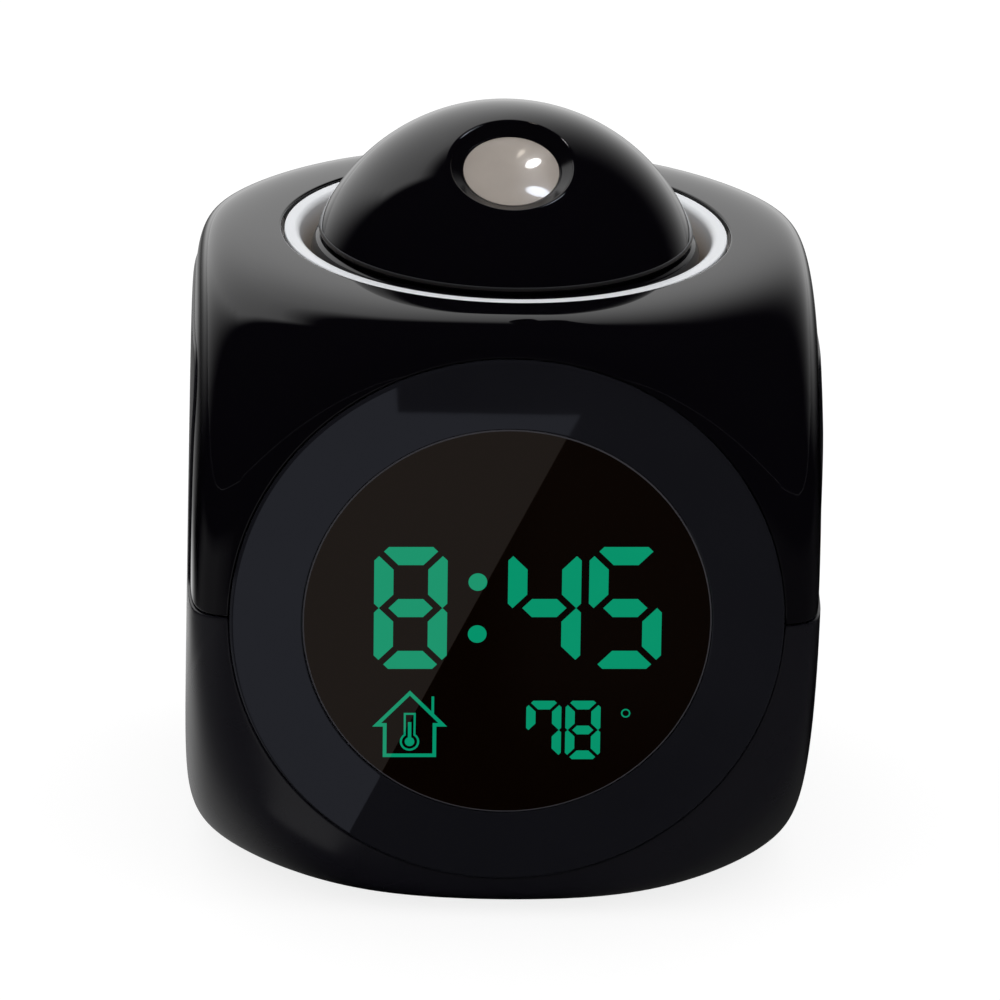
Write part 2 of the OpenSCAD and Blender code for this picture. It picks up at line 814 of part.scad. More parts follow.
module speaker_basket() {
    color("#9a9da3") back_turn() polygon([[0.904, 0], [1, 0], [1, 0.074], [0.933, 0.074],
        [0.667, 0.407], [0.185, 0.407], [0.185, 0.348], [0.63, 0.348], [0.874, 0.052]]);
}

module speaker_cone() {
    color("#26262a") back_turn() polygon([[0, 0.237], [0.222, 0.267], [0.807, 0.03], [0.844, 0.052],
        [0.237, 0.319], [0.163, 0.341], [0.163, 0.4], [0, 0.4]]);
}

module speaker_magnet() {
    color("#5b5e64") back_turn() polygon([[0, 0.407], [0.593, 0.407], [0.593, 0.711], [0.548, 0.756],
        [0, 0.756]]);
}

module speaker_clamp() {
    y1 = speaker_clamp_y;
    y0 = y1 - speaker_clamp_t;
    color("#3a3a3e") difference() {
        union() {
            rod_y(0, speaker_z, y0, y1, speaker_r + speaker_clamp_rim);
            block([-speaker_ear_x, speaker_ear_x], [y0, y1],
                [speaker_z - speaker_ear_r, speaker_z + speaker_ear_r]);
            for (s = [-1, 1]) rod_y(s * speaker_ear_x, speaker_z, y0, y1, speaker_ear_r);
        }
        rod_y(0, speaker_z, y0 - cut, y1 + cut, speaker_r - speaker_clamp_lap);
        for (s = [-1, 1]) rod_y(s * speaker_ear_x, speaker_z, y0 - cut, y1 + cut, tap_r + seat);
    }
}

module speaker_screws() {
    color("#8d9096") for (s = [-1, 1])
        translate([s * speaker_ear_x, speaker_clamp_y - speaker_clamp_t, speaker_z]) rotate([-90, 0, 0])
            pan_screw(tap_head_r, tap_head_t, tap_r, speaker_clamp_t + speaker_bite);
}

module dc_socket() {
    half = jack_block / 2;
    nose_y = back_y - panel_depth;
    color("#1a1a1d") difference() {
        union() {
            block([port_x - half, port_x + half], [inner_back_y - seat - jack_block_l, inner_back_y - seat],
                [port_z - half, port_z + half]);
            rod_y(port_x, port_z, inner_back_y - cut, nose_y, jack_nose_r);
        }
        rod_y(port_x, port_z, inner_back_y - jack_depth, nose_y + cut, jack_r);
        rod_y(port_x, port_z, inner_back_y - jack_depth - jack_pin_l, nose_y, jack_r - jack_step);
    }
}

module socket_contact() {
    color("#c9a24a") rod_y(port_x, port_z, inner_back_y - jack_depth - jack_pin_l,
        inner_back_y - jack_depth - jack_pin_gap, jack_r - jack_step - running_fit);
}

module switch_body() {
    y1 = inner_back_y - seat;
    h = knob_h / 2 + clearance;
    color("#6f7278") difference() {
        block([-port_x - slot_half - switch_rim, -port_x + slot_half + switch_rim], [y1 - switch_depth, y1],
            [port_z - h - switch_rim, port_z + h + switch_rim]);
        block([-port_x - slot_half, -port_x + slot_half], [y1 - knob_root, y1 + cut],
            [port_z - h, port_z + h]);
    }
}

module switch_knob() {
    front = back_y - knob_sunk;
    color("#2b2b30") translate([-port_x - slide_travel / 2, 0, port_z]) difference() {
        block([-knob_w / 2, knob_w / 2], [inner_back_y - seat - knob_root + clearance, front],
            [-knob_h / 2, knob_h / 2]);
        for (i = [-1:1]) translate([i * knob_ridge[0], 0, 0])
            block([-knob_ridge[1] / 2, knob_ridge[1] / 2], [front - knob_ridge[2], front + cut],
                [-knob_h, knob_h]);
    }
}

// ---------- battery bay ----------
module at_cells() {
    for (i = [0:cell_count - 1]) translate([0, (i - (cell_count - 1) / 2) * cell_d, 0]) children();
}

// Slots or plates at both ends of each cell
module cell_ends(w, z0, z1) {
    x = tray_in_x / 2;
    at_cells() for (s = [-1, 1])
        block([s * x - (s < 0 ? contact_t : 0), s * x + (s > 0 ? contact_t : 0)], [-w / 2, w / 2], [z0, z1]);
}

module battery_tray() {
    x = tray_in_x / 2;
    y = tray_in_y / 2;
    color("#1c1c20") difference() {
        block([-x - tray_wall, x + tray_wall], [-y - tray_wall, y + tray_wall],
            [tray_z, tray_z + tray_in_h + tray_wall]);
        difference() {
            block([-x, x], [-y, y], [tray_z - cut, tray_z + tray_in_h]);
            for (i = [1:cell_count - 1]) translate([0, (i - cell_count / 2) * cell_d, 0])
                block([-x / 2, x / 2], [-tray_rib_w / 2, tray_rib_w / 2],
                    [tray_z + tray_in_h - tray_rib_h, tray_z + tray_in_h + cut]);
        }
        cell_ends(contact_w + 2 * seat, tray_z - cut, tray_z + tray_in_h - contact_margin);
    }
}

module battery_contacts() {
    color("#c8ccd2")
        cell_ends(contact_w, tray_z + contact_margin, tray_z + tray_in_h - contact_margin - seat);
}

module coil(length, r0, r1, turns, wire, steps) {
    count = ceil(turns * steps);
    function centre(k) = let (t = k / count, a = 360 * turns * t, r = r0 + (r1 - r0) * t)
        [r * cos(a), r * sin(a), wire + (length - 2 * wire) * t];
    points = [for (k = [0:count], s = [0:coil_sides - 1])
        let (a = 360 * turns * k / count, b = 360 * s / coil_sides)
        centre(k) + wire * [cos(b) * cos(a), cos(b) * sin(a), sin(b)]];
    function id(k, s) = k * coil_sides + s % coil_sides;
    faces = concat([[for (s = [0:coil_sides - 1]) s]],
        [for (k = [0:count - 1], s = [0:coil_sides - 1]) [id(k, s), id(k + 1, s), id(k + 1, s + 1)]],
        [for (k = [0:count - 1], s = [0:coil_sides - 1]) [id(k, s), id(k + 1, s + 1), id(k, s + 1)]],
        [[for (s = [coil_sides - 1:-1:0]) id(count, s)]]);
    polyhedron(points, faces);
}

module battery_springs() {
    color("#c8ccd2") at_cells() translate([tray_in_x / 2, 0, cell_z]) rotate([0, -90, 0])
        coil(coil_l, coil_base_r, coil_tip_r, coil_turns, coil_wire, coil_steps);
}

module battery_door() {
    x = door_x / 2;
    y = door_y / 2;
    color("#17171b") difference() {
        union() {
            block([-x, x], [-y, door_axis_y], [floor_z, floor_z + door_t]);
            translate([0, door_axis_y, door_axis_z]) rotate([0, 90, 0]) {
                cylinder(h = door_x, r = door_axis_in, center = true);
                cylinder(h = door_x + 2 * door_pin_l, r = door_pin_r, center = true);
            }
            block([-door_rib_w / 2, door_rib_w / 2], [-y, -y + door_rib_t],
                [floor_z + door_t - cut, inner_floor_z]);
        }
        for (i = [0:grip_count - 1]) translate([0, grip_in + grip_pitch * i - y, 0])
            block([-grip_l / 2, grip_l / 2], [0, grip_w], [floor_z - cut, floor_z + grip_d]);
    }
}

// ---------- light ring and well ----------
module light_ring() {
    flange_z = inner_top_z - ring_flange_t;
    waist_r = ring_r - ring_waist;
    color("#e8e6e0") rotate_extrude() polygon([[funnel_r, ring_bottom_z], [waist_r, ring_bottom_z],
        [waist_r, flange_z], [ring_flange_r, flange_z], [ring_flange_r, inner_top_z],
        [ring_r, inner_top_z], [ring_r, ring_top_z - ring_edge], [ring_r - ring_edge, ring_top_z],
        [ring_r - rim_w, ring_top_z]]);
}

module head_well() {
    inner_r = well_r - well_wall;
    low = well_top_z - well_flange_t;
    color("#26262a") difference() {
        union() {
            rotate_extrude() polygon([[hub_r + running_fit, well_z], [well_r, well_z], [well_r, low],
                [well_flange_r, low], [well_flange_r, well_top_z], [inner_r, well_top_z],
                [inner_r, well_floor_z], [hub_r + running_fit, well_floor_z]]);
            at_ears() {
                rod_z(0, 0, low, well_top_z, ear_r);
                block([well_r - ear_ring, 0], [-ear_r, ear_r], [low, well_top_z]);
            }
            for (s = [-1, 1]) rod_z(s * post_x, 0, snooze_board_z + board_t, well_z + cut, post_wide_r);
        }
        for (s = [-1, 1]) {
            block([s * well_r - 2 * well_wall, s * well_r + 2 * well_wall],
                [-key_w / 2 - clearance, key_w / 2 + clearance],
                [plate_z - press_travel - clearance, plate_top_z + clearance]);
            rod_z(s * post_x, 0, snooze_board_z, snooze_board_z + board_t + tap_bite + clearance,
                tap_r + running_fit);
        }
        at_ears() rod_z(0, 0, low - cut, well_top_z + cut, tap_r + seat);
    }
}

module well_screws() {
    color("#8d9096") at_ears() translate([0, 0, well_top_z - well_flange_t]) tap_screw(well_flange_t);
}

module snooze_board() {
    end = post_x + 2 * tap_head_r;
    color("#1f6b3a") difference() {
        block([-end, end], [-snooze_board_w / 2, snooze_board_w / 2],
            [snooze_board_z, snooze_board_z + board_t]);
        for (s = [-1, 1])
            rod_z(s * post_x, 0, snooze_board_z - cut, snooze_board_z + board_t + cut, tap_r + seat);
    }
}

module snooze_switch() {
    z = snooze_board_z + board_t;
    color("#3a3a3e") {
        block([-snooze_half, snooze_half], [-snooze_half, snooze_half], [z, snooze_top_z - snooze_tip]);
        rod_z(0, 0, z, snooze_top_z, snooze_tip_r);
    }
}

module snooze_screws() {
    color("#8d9096") for (s = [-1, 1]) translate([s * post_x, 0, snooze_board_z]) tap_screw(board_t);
}

// ---------- press carriage ----------
module press_carriage() {
    bore = spigot_r + running_fit;
    sweep = 2 * (swivel_limit + stop_turn);
    color("#55585e") difference() {
        union() {
            rotate_extrude() polygon([[bore, hub_z], [hub_r, hub_z], [hub_r, plate_z], [plate_r, plate_z],
                [plate_r, plate_top_z], [bore, plate_top_z]]);
            for (s = [0, 180]) rotate(s)
                block([hub_r, key_r], [-key_w / 2, key_w / 2], [plate_z, plate_top_z]);
        }
        rotate(90 - sweep / 2) translate([0, 0, plate_z - cut]) rotate_extrude(angle = sweep)
            translate([stop_ring - stop_r - clearance, 0])
                square([2 * (stop_r + clearance), plate_t + 2 * cut]);
        rotate_extrude() translate([hub_r - clip_groove, clip_z - running_fit])
            square([2 * clip_groove, clip_t + 2 * running_fit]);
    }
}

module carriage_clip() {
    color("#b9bcc2") rotate(20) translate([0, 0, clip_z]) rotate_extrude(angle = 320)
        translate([hub_r - clip_groove + running_fit, 0]) square([clip_w, clip_t]);
}

module friction_washer() {
    color("#3f3a36") rotate_extrude() translate([hub_r + thrust_gap, plate_top_z])
        square([thrust_w, thrust_t]);
}

module press_spring() {
    color("#c8ccd2") translate([0, 0, well_floor_z + seat / 2])
        coil(spring_l - seat, spring_r, spring_r, spring_turns, spring_wire / 2, 24);
}

// ---------- projector head ----------
module dome_shell() {
    color("#101014") difference() {
        translate([0, 0, dome_z]) sphere(r = dome_r);
        translate([0, 0, dome_z]) sphere(r = dome_r - dome_wall);
        block([-far, far], [-far, far], [-far, edge_z]);
        at_lens_axis() translate([0, 0, lens_front_s - dome_r / 4]) cylinder(h = dome_r, r = recess_r);
    }
}

// The skirt's lip centres it inside the dome; the spigot below it turns in the carriage
module dome_skirt() {
    function inside(z) = sqrt(pow(dome_r - dome_wall, 2) - pow(z - dome_z, 2)) - seat;
    low_r = skirt_r - skirt_draft;
    top = edge_z - seat;
    foot = hub_z - seat;
    pilot = swivel_shank_r + running_fit;
    floor_top = head_floor_z + head_floor_t;
    color("#1b1b20") {
        rotate_extrude() polygon([[pilot, foot], [spigot_r, foot], [spigot_r, head_floor_z],
            [low_r, head_floor_z], [skirt_r, top], [inside(edge_z), top], [inside(top + lip_h), top + lip_h],
            [inside(top + lip_h) - lip_w, top + lip_h], [low_r - dome_wall, floor_top], [0, floor_top],
            [0, foot + swivel_bite], [pilot, foot + swivel_bite]]);
        rod_z(0, stop_ring, plate_z + clearance, head_floor_z + cut, stop_r);
    }
}

module swivel_washer() {
    color("#b9bcc2") difference() {
        rod_z(0, 0, washer_z, washer_z + washer_t, spigot_r + washer_rim);
        rod_z(0, 0, washer_z - cut, washer_z + washer_t + cut, swivel_shank_r + seat);
    }
}

module swivel_screw() {
    color("#8d9096") translate([0, 0, washer_z])
        pan_screw(swivel_head_r, swivel_head_t, swivel_shank_r, washer_t + swivel_bite - seat);
}

module lens_bezel() {
    out_r = recess_r - seat;
    in_r = lens_r + seat;
    low_s = lens_front_s - lens_t - lens_stand;
    color("#0c0c10") at_lens_axis() rotate_extrude() polygon([[in_r, low_s], [out_r, low_s],
        [out_r, mouth_s - seat], [out_r - 2 * seat, mouth_s - seat / 2], [in_r, lens_front_s - lens_bulge]]);
}

module biconvex(r, thick, front_s) {
    bend = (r * r + thick * thick / 4) / thick * flatness;
    intersection() {
        translate([0, 0, front_s - bend]) sphere(r = bend);
        translate([0, 0, front_s - thick]) cylinder(h = thick, r = r);
    }
}

module projector_lens() {
    color("#b9b0a8") at_lens_axis() biconvex(lens_r, lens_t, lens_front_s);
}

module projector_tube() {
    color("#1c1c20") at_lens_axis() rotate_extrude() translate([tube_r - tube_wall, -tube_tail])
        square([tube_wall, tube_top_s + tube_tail]);
}

module condenser_lens() {
    color("#d8e2e6") at_lens_axis() biconvex(lens_r - seat, condenser_t, condenser_s);
}

module projector_lcd() {
    side = lens_r * slide_share;
    color("#22303a") at_lens_axis() translate([-side / 2, -side / 2, slide_s]) cube([side, side, slide_t]);
}

module projector_led() {
    color("#d9534a") at_lens_axis() translate([0, 0, -tube_tail]) {
        cylinder(h = led_base_t, r = led_r + led_base_rim);
        cylinder(h = led_l, r = led_r);
        translate([0, 0, led_l]) sphere(r = led_r);
    }
}

module led_board() {
    color("#1f6b3a") at_lens_axis() translate([0, 0, -tube_tail - led_board_t])
        cylinder(h = led_board_t, r = tube_r);
}

module projector_mount() {
    z0 = head_floor_z + head_floor_t;
    half = tube_r + mount_rim;
    color("#2b2b30") difference() {
        block([-half, half], [-mount_front, mount_back], [z0, z0 + mount_h]);
        at_lens_axis() translate([0, 0, -dome_r]) cylinder(h = 2 * dome_r, r = tube_r + seat);
    }
}

base_housing();
hood();
bezel_ring();
display_window();
lcd_frame();
lcd_panel();
backlight_panel();
zebra_strip();
main_board();
board_chips();
board_screws();
ribbon_cable();
button_board();
tact_switches();
speaker_basket();
speaker_cone();
speaker_magnet();
speaker_clamp();
speaker_screws();
battery_tray();
battery_contacts();
battery_springs();
battery_door();
dc_socket();
socket_contact();
switch_body();
switch_knob();
push_button(0);  // button_1
push_button(1);  // button_2
push_button(2);  // button_3
push_button(3);  // button_4
push_button(4);  // button_5
feet();
case_screws();
light_ring();
head_well();
well_screws();
snooze_board();
snooze_switch();
snooze_screws();
press_carriage();
carriage_clip();
friction_washer();
press_spring();
dome_shell();
dome_skirt();
swivel_washer();
swivel_screw();
lens_bezel();
projector_lens();
projector_tube();
condenser_lens();
projector_lcd();
projector_led();
led_board();
projector_mount();
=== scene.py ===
"""Looks of a projection alarm clock: a ball-cut cube with a round display and a domed projector."""

import math

import bpy
import numpy as np
from bpy.props import FloatProperty, FloatVectorProperty, IntProperty, PointerProperty
from mathutils import Matrix, Vector


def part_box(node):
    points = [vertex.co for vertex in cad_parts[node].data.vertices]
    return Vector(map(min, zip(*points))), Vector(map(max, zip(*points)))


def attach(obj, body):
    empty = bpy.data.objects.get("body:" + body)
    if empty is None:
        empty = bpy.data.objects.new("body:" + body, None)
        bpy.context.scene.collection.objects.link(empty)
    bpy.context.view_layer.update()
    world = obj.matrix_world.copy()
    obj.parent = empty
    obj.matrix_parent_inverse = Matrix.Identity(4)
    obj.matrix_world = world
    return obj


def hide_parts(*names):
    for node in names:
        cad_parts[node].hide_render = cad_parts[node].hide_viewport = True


bl_info = {
    "name": "Projection Alarm Clock Kit",
    "version": (1, 0, 0),
    "blender": (4, 5, 0),
    "location": "View3D > Sidebar > Clock",
    "description": "Builds the visible surfaces of a projection alarm clock around its packed frame",
    "category": "Add Mesh",
}

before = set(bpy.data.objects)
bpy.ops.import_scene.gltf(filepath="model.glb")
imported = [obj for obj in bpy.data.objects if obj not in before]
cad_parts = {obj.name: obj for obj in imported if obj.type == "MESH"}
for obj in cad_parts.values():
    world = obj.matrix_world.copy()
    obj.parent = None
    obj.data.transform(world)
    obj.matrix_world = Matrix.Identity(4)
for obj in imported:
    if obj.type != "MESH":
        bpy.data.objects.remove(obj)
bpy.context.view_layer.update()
MM = 0.001


# ---------- sizes that the frame gives, in millimetres ----------
def frame_box(node):
    """Lowest and highest corner of a node at rest."""
    low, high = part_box(node)
    return np.array(low) / MM, np.array(high) / MM


BEZEL_LOW, BEZEL_HIGH = frame_box("bezel_ring")
WINDOW_LOW, WINDOW_HIGH = frame_box("display_window")
RING_LOW, RING_HIGH = frame_box("light_ring")
DOME_LOW, DOME_HIGH = frame_box("dome_shell")
SKIRT_LOW, SKIRT_HIGH = frame_box("dome_skirt")
BASE_LOW, BASE_HIGH = frame_box("base_housing")
DOOR_LOW, DOOR_HIGH = frame_box("battery_door")
KNOB_LOW, KNOB_HIGH = frame_box("switch_knob")
SOCKET_LOW, SOCKET_HIGH = frame_box("dc_socket")

TOP_RAISED = 0.35   # the visible ring and top face stand this much above the frame's
RING_SUNK = 0.25    # the ring's rim lies this far below the top face
RING_TOP = RING_HIGH[2] + TOP_RAISED
TOP_Z = RING_TOP + RING_SUNK
FLOOR_Z = DOOR_LOW[2]
FRONT_Y = BEZEL_LOW[1]
BACK_Y = -FRONT_Y
BODY_Z = (FLOOR_Z + TOP_Z) / 2
DISC_Z = (BEZEL_LOW[2] + BEZEL_HIGH[2]) / 2
CENTRE = np.array([0.0, 0.0, BODY_Z])
HALF = np.array([BASE_HIGH[0], BACK_Y, TOP_Z - BODY_Z])
DISC_R = (BEZEL_HIGH[0] - BEZEL_LOW[0]) / 2
WINDOW_R = (WINDOW_HIGH[0] - WINDOW_LOW[0]) / 2
DOME_EDGE_R = DOME_HIGH[0]
DOME_RISE = DOME_HIGH[2] - DOME_LOW[2]
DOME_R = (DOME_EDGE_R ** 2 + DOME_RISE ** 2) / (2 * DOME_RISE)
DOME_Z = DOME_HIGH[2] - DOME_R
DOME_LIP = 1.05     # the dome's rolled edge reaches this far below the frame's
FEET_LOW, FEET_HIGH = frame_box("feet")
FOOT_R = 4.0
FOOT_GAP = 0.1      # between a foot and the wall of its pocket
POCKET_DEPTH = 1.2
FEET_PLACES = [(sx * (FEET_HIGH[0] - FOOT_R), sy * (FEET_HIGH[1] - FOOT_R))
               for sx in (-1, 1) for sy in (-1, 1)]

BUTTONS = ["button_%d" % i for i in range(1, 6)]
BUTTON_PITCH = 11.0
BUTTON_Z = (frame_box("button_3")[0][2] + frame_box("button_3")[1][2]) / 2
KEY_HOLE_R = 3.3
PANEL_R = 4.5       # of the recess round the keys
PANEL_DEPTH = 0.7
SPEAKER_Z = BUTTON_Z - 27.0
SPEAKER_R = 12.0    # the slots end on this circle
SLOT_PITCH = 2.76
SLOT_HALF = 0.75    # half the width of one slot
PORT_X = (SOCKET_LOW[0] + SOCKET_HIGH[0]) / 2
PORT_Z = (SOCKET_LOW[2] + SOCKET_HIGH[2]) / 2
SOCKET_R = 4.0
SWITCH_X = -PORT_X
SWITCH_HALF = (KNOB_HIGH[0] - KNOB_LOW[0]) / 2 + 1.6   # half the knob, half its travel and a gap
POST_X, POST_Y = 32.0, 9.0
WELL_R = 2.9        # below each screw post, for the screw's head
DOOR_PIN = 1.2      # a pivot pin's length, and its axis's distance from the door's edge and face
DOOR_HALF_X = DOOR_HIGH[0] - DOOR_PIN
DOOR_HALF_Y = (DOOR_HIGH[1] - DOOR_LOW[1]) / 2
DOOR_GAP = 0.25
CHAMFER = 0.25      # round each recess, slot and well in the outer faces
STICK_OUT = 2       # how far every cutter stands out of the body
THROUGH = 5.0       # deeper than the wall


# ---------- adjustable values ----------
def length(name, value_mm, text):
    """A length property; its default is given in millimetres."""
    return FloatProperty(name=name, description=text, default=value_mm * MM, unit="LENGTH", precision=5)


def tint(name, code, text):
    """A colour property; its default is given as an sRGB hex code."""
    return FloatVectorProperty(name=name, description=text, default=linear(code)[:3], subtype="COLOR",
                               size=3, min=0.0, max=1.0)


def linear(code):
    """Turns an sRGB hex code into a linear colour with alpha 1."""
    parts = [int(code[i:i + 2], 16) / 255 for i in (1, 3, 5)]
    return tuple(c / 12.92 if c <= 0.04045 else ((c + 0.055) / 1.055) ** 2.4 for c in parts) + (1.0,)


class ShellSizes(bpy.types.PropertyGroup):
    """Sizes of the two housing shells."""

    corner_ball: length("Corner ball", 56.5, "Radius of the ball that cuts the cube's corners")
    sharpness: FloatProperty(name="Edge sharpness", description="How sharply the faces turn",
                             default=24.0, min=8.0, max=40.0)
    wall: length("Wall", 2.2, "Thickness of the shells")
    hood_inset: length("Hood inset", 0.3, "How far the hood's sides lie inside the base's sides")
    seam_setback: length("Seam setback", 15.0, "From the front face to the upright seam")
    shoulder_drop: length("Shoulder drop", 11.0, "From the top face to the seam round the back")
    shoulder_bend: length("Shoulder bend", 8.0, "Radius of the seam below the shoulder")
    notch_bend: length("Notch bend", 3.0, "Radius of the seam beside the display")
    seam_gap: length("Seam gap", 0.2, "Open line between the two shells")
    edge_roll: length("Edge roll", 0.25, "Radius of the rolled edge along every seam")
    disc_gap: length("Bezel gap", 0.1, "Open line round the bezel")
    ring_opening: length("Ring opening", 29.45, "Radius of the opening for the light ring")


class DisplaySizes(bpy.types.PropertyGroup):
    """Sizes of the digits and signs behind the window."""

    digit_height: length("Digit height", 16.71, "Height of the time digits")
    digit_width: length("Digit width", 9.38, "Width of the time digits")
    small_height: length("Small digit height", 8.1, "Height of the temperature digits")
    small_width: length("Small digit width", 4.52, "Width of the temperature digits")
    bar_share: FloatProperty(name="Bar share", description="Bar thickness over digit height",
                             default=0.148, min=0.08, max=0.2)
    film: length("Film", 0.04, "Thickness of the lit shapes")
    lift: length("Lift", 0.27, "How far the lit shapes lie above the window's middle")
    tilt: FloatProperty(name="Tilt", description="How far the panel is turned in its seat",
                        default=math.radians(0.9), subtype="ANGLE")


class HeadSizes(bpy.types.PropertyGroup):
    """Sizes of the projector head."""

    lens_tilt: FloatProperty(name="Lens tilt", description="Lens axis away from upright",
                             default=math.radians(27.1), subtype="ANGLE")
    recess: length("Recess", 7.9, "Radius of the recess round the lens")
    recess_depth: length("Recess depth", 1.2, "How deep the seat's inner edge lies")
    lens_bulge: length("Lens bulge", 0.75, "How far the lens stands out of its seat")
    lens: length("Lens", 6.2, "Radius of the lens")
    wall: length("Dome wall", 1.8, "Thickness of the dome")
    rim: length("White rim", 1.95, "Width of the light ring's rim")


class Finishes(bpy.types.PropertyGroup):
    """Colours of the visible materials."""

    gloss_black: tint("Gloss black", "#060508", "Polished hood and dome")
    satin_black: tint("Satin black", "#131218", "Fine-textured base")
    bezel_black: tint("Bezel black", "#141418", "Moulded display bezel")
    window_black: tint("Window black", "#080301", "Smoked display window")
    lit_green: tint("Lit green", "#068F68", "Digits and signs")
    ring_white: tint("Ring white", "#F3F6FB", "Light ring")
    lens_grey: tint("Lens grey", "#A49B93", "Projector lens")


class StudioSettings(bpy.types.PropertyGroup):
    """Camera and light of the studio."""

    azimuth: FloatProperty(name="Azimuth", description="Camera to the side of the front",
                           default=math.radians(-2.467), subtype="ANGLE")
    elevation: FloatProperty(name="Elevation", description="Camera above the table",
                             default=math.radians(20.308), subtype="ANGLE")
    roll: FloatProperty(name="Roll", description="Camera turned about its axis",
                        default=math.radians(1.726), subtype="ANGLE")
    distance: length("Distance", 1073.3, "From the camera to its aim")
    aim: length("Aim", 43.35, "Height of the camera's aim")
    aim_side: length("Aim side", 0.29, "The aim's distance to the right of the clock's axis")
    lens: FloatProperty(name="Lens", description="Focal length on a 36 mm film", default=291.5)
    round_steps: IntProperty(name="Round steps", description="Faces round a turned piece",
                             default=192, min=48, max=360)


GROUPS = {"clock_shell": ShellSizes, "clock_display": DisplaySizes, "clock_head": HeadSizes,
          "clock_finish": Finishes, "clock_studio": StudioSettings}


# ---------- meshes from computed surfaces ----------
def mesh_object(name, points, quads, tris):
    """Puts whole arrays of points (mm), four-sided and three-sided faces into a new mesh."""
    corners = np.concatenate([quads.ravel(), tris.ravel()]).astype(np.int32)
    sizes = np.concatenate([np.full(len(quads), 4), np.full(len(tris), 3)]).astype(np.int32)
    starts = np.concatenate([[0], np.cumsum(sizes)[:-1]]).astype(np.int32)
    mesh = bpy.data.meshes.new(name)
    mesh.vertices.add(len(points))
    mesh.vertices.foreach_set("co", (points * MM).astype(np.float32).ravel())
    mesh.loops.add(len(corners))
    mesh.loops.foreach_set("vertex_index", corners)
    mesh.polygons.add(len(sizes))
    mesh.polygons.foreach_set("loop_start", starts)
    mesh.polygons.foreach_set("use_smooth", np.ones(len(sizes), dtype=bool))
    mesh.update(calc_edges=True)
    mesh.validate()
    made = bpy.data.objects.new(name, mesh)
    bpy.context.scene.collection.objects.link(made)
    return made


def enclosed(points, quads, tris):
    """Six times the signed volume: positive when the faces point outwards."""
    total = 0.0
    for a, b, c in ((0, 1, 2), (0, 2, 3)):
        total += np.einsum("ij,ij->", points[quads[:, a]], np.cross(points[quads[:, b]], points[quads[:, c]]))
    if len(tris):
        total += np.einsum("ij,ij->", points[tris[:, 0]], np.cross(points[tris[:, 1]], points[tris[:, 2]]))
    return total


def grid_faces(rows, cols, loop_rows):
    """Faces of a rows by cols grid that is closed round its columns, and along its rows if asked."""
    j = np.arange(rows if loop_rows else rows - 1)[:, None]
    i = np.arange(cols)[None, :]
    up, on = (j + 1) % rows, (i + 1) % cols
    return np.stack(np.broadcast_arrays(j * cols + i, j * cols + on, up * cols + on, up * cols + i),
                    axis=-1).reshape(-1, 4)


def skinned(name, grid, loop_rows=True, ends=None):
    """Closed solid from a grid of points; ends closes the first and last row in a point each."""
    rows, cols = grid.shape[:2]
    points = grid.reshape(-1, 3)
    quads = grid_faces(rows, cols, loop_rows)
    tris = np.zeros((0, 3), dtype=int)
    if ends is not None:
        first, last = len(points), len(points) + 1
        i = np.arange(cols)
        on = (i + 1) % cols
        low = np.stack([np.full(cols, first), on, i], axis=1)
        base = (rows - 1) * cols
        high = np.stack([np.full(cols, last), base + i, base + on], axis=1)
        tris = np.concatenate([low, high])
        points = np.concatenate([points, np.array(ends, dtype=float)])
    if enclosed(points, quads, tris) < 0:
        quads, tris = quads[:, ::-1], tris[:, ::-1]
    return mesh_object(name, points, quads, tris)


def rounded(corners, steps=5, hold=0.12):
    """Closed outline with each corner (x, y, radius) turned into an arc, and points held near arcs."""
    xy = np.array([c[:2] for c in corners], dtype=float)
    ways = np.roll(xy, -1, axis=0) - xy
    spans = np.linalg.norm(ways, axis=1)
    ways = ways / spans[:, None]
    parts = []
    for k, corner in enumerate(corners):
        back, on = -ways[k - 1], ways[k]
        half = math.acos(float(np.clip(back @ on, -1, 1))) / 2
        reach = corner[2] / math.tan(half) if corner[2] > 0 else 0.0
        room = (spans[k - 1] - reach, spans[k] - reach)
        if reach > 0:
            middle = xy[k] + (back + on) / np.linalg.norm(back + on) * corner[2] / math.sin(half)
            start, end = xy[k] + back * reach - middle, xy[k] + on * reach - middle
            turn = np.linspace(0, 1, steps + 1)[:, None]
            arc = start * (1 - turn) + end * turn
            arc = middle + arc / np.linalg.norm(arc, axis=1)[:, None] * corner[2]
            parts += [xy[k] + back * (reach + min(hold, room[0] / 3)), *arc,
                      xy[k] + on * (reach + min(hold, room[1] / 3))]
        else:
            parts += [xy[k] + back * min(hold, spans[k - 1] / 3), xy[k], xy[k] + on * min(hold, spans[k] / 3)]
    return np.array(parts)


def turned(name, outline, origin=(0, 0, 0), tilt=0.0, steps=192, closed=True):
    """Turned piece: the outline (radius, height) carried round an axis.

    The axis starts at origin and leans from +Z towards -Y by tilt; tilt of -90 degrees looks along +Y.
    An outline that is not closed must start and end on the axis.
    """
    outline = np.asarray(outline, dtype=float)
    angle = np.linspace(0, 2 * math.pi, steps, endpoint=False)
    body = outline if closed else outline[1:-1]
    radius, height = body[:, 0][:, None], body[:, 1][:, None]
    local = np.stack([radius * np.cos(angle), radius * np.sin(angle), height + 0 * angle], axis=-1)
    turn = np.array(Matrix.Rotation(tilt, 3, "X"))
    grid = local @ turn.T + np.array(origin, dtype=float)
    ends = None
    if not closed:
        ends = [turn @ np.array([0, 0, outline[k, 1]]) + np.array(origin, dtype=float) for k in (0, -1)]
    return skinned(name, grid, loop_rows=closed, ends=ends)


def crease(piece, degrees=32):
    """Marks edges sharper than the angle, so that flats stay flat and curves stay smooth."""
    piece.data.set_sharp_from_angle(angle=math.radians(degrees))


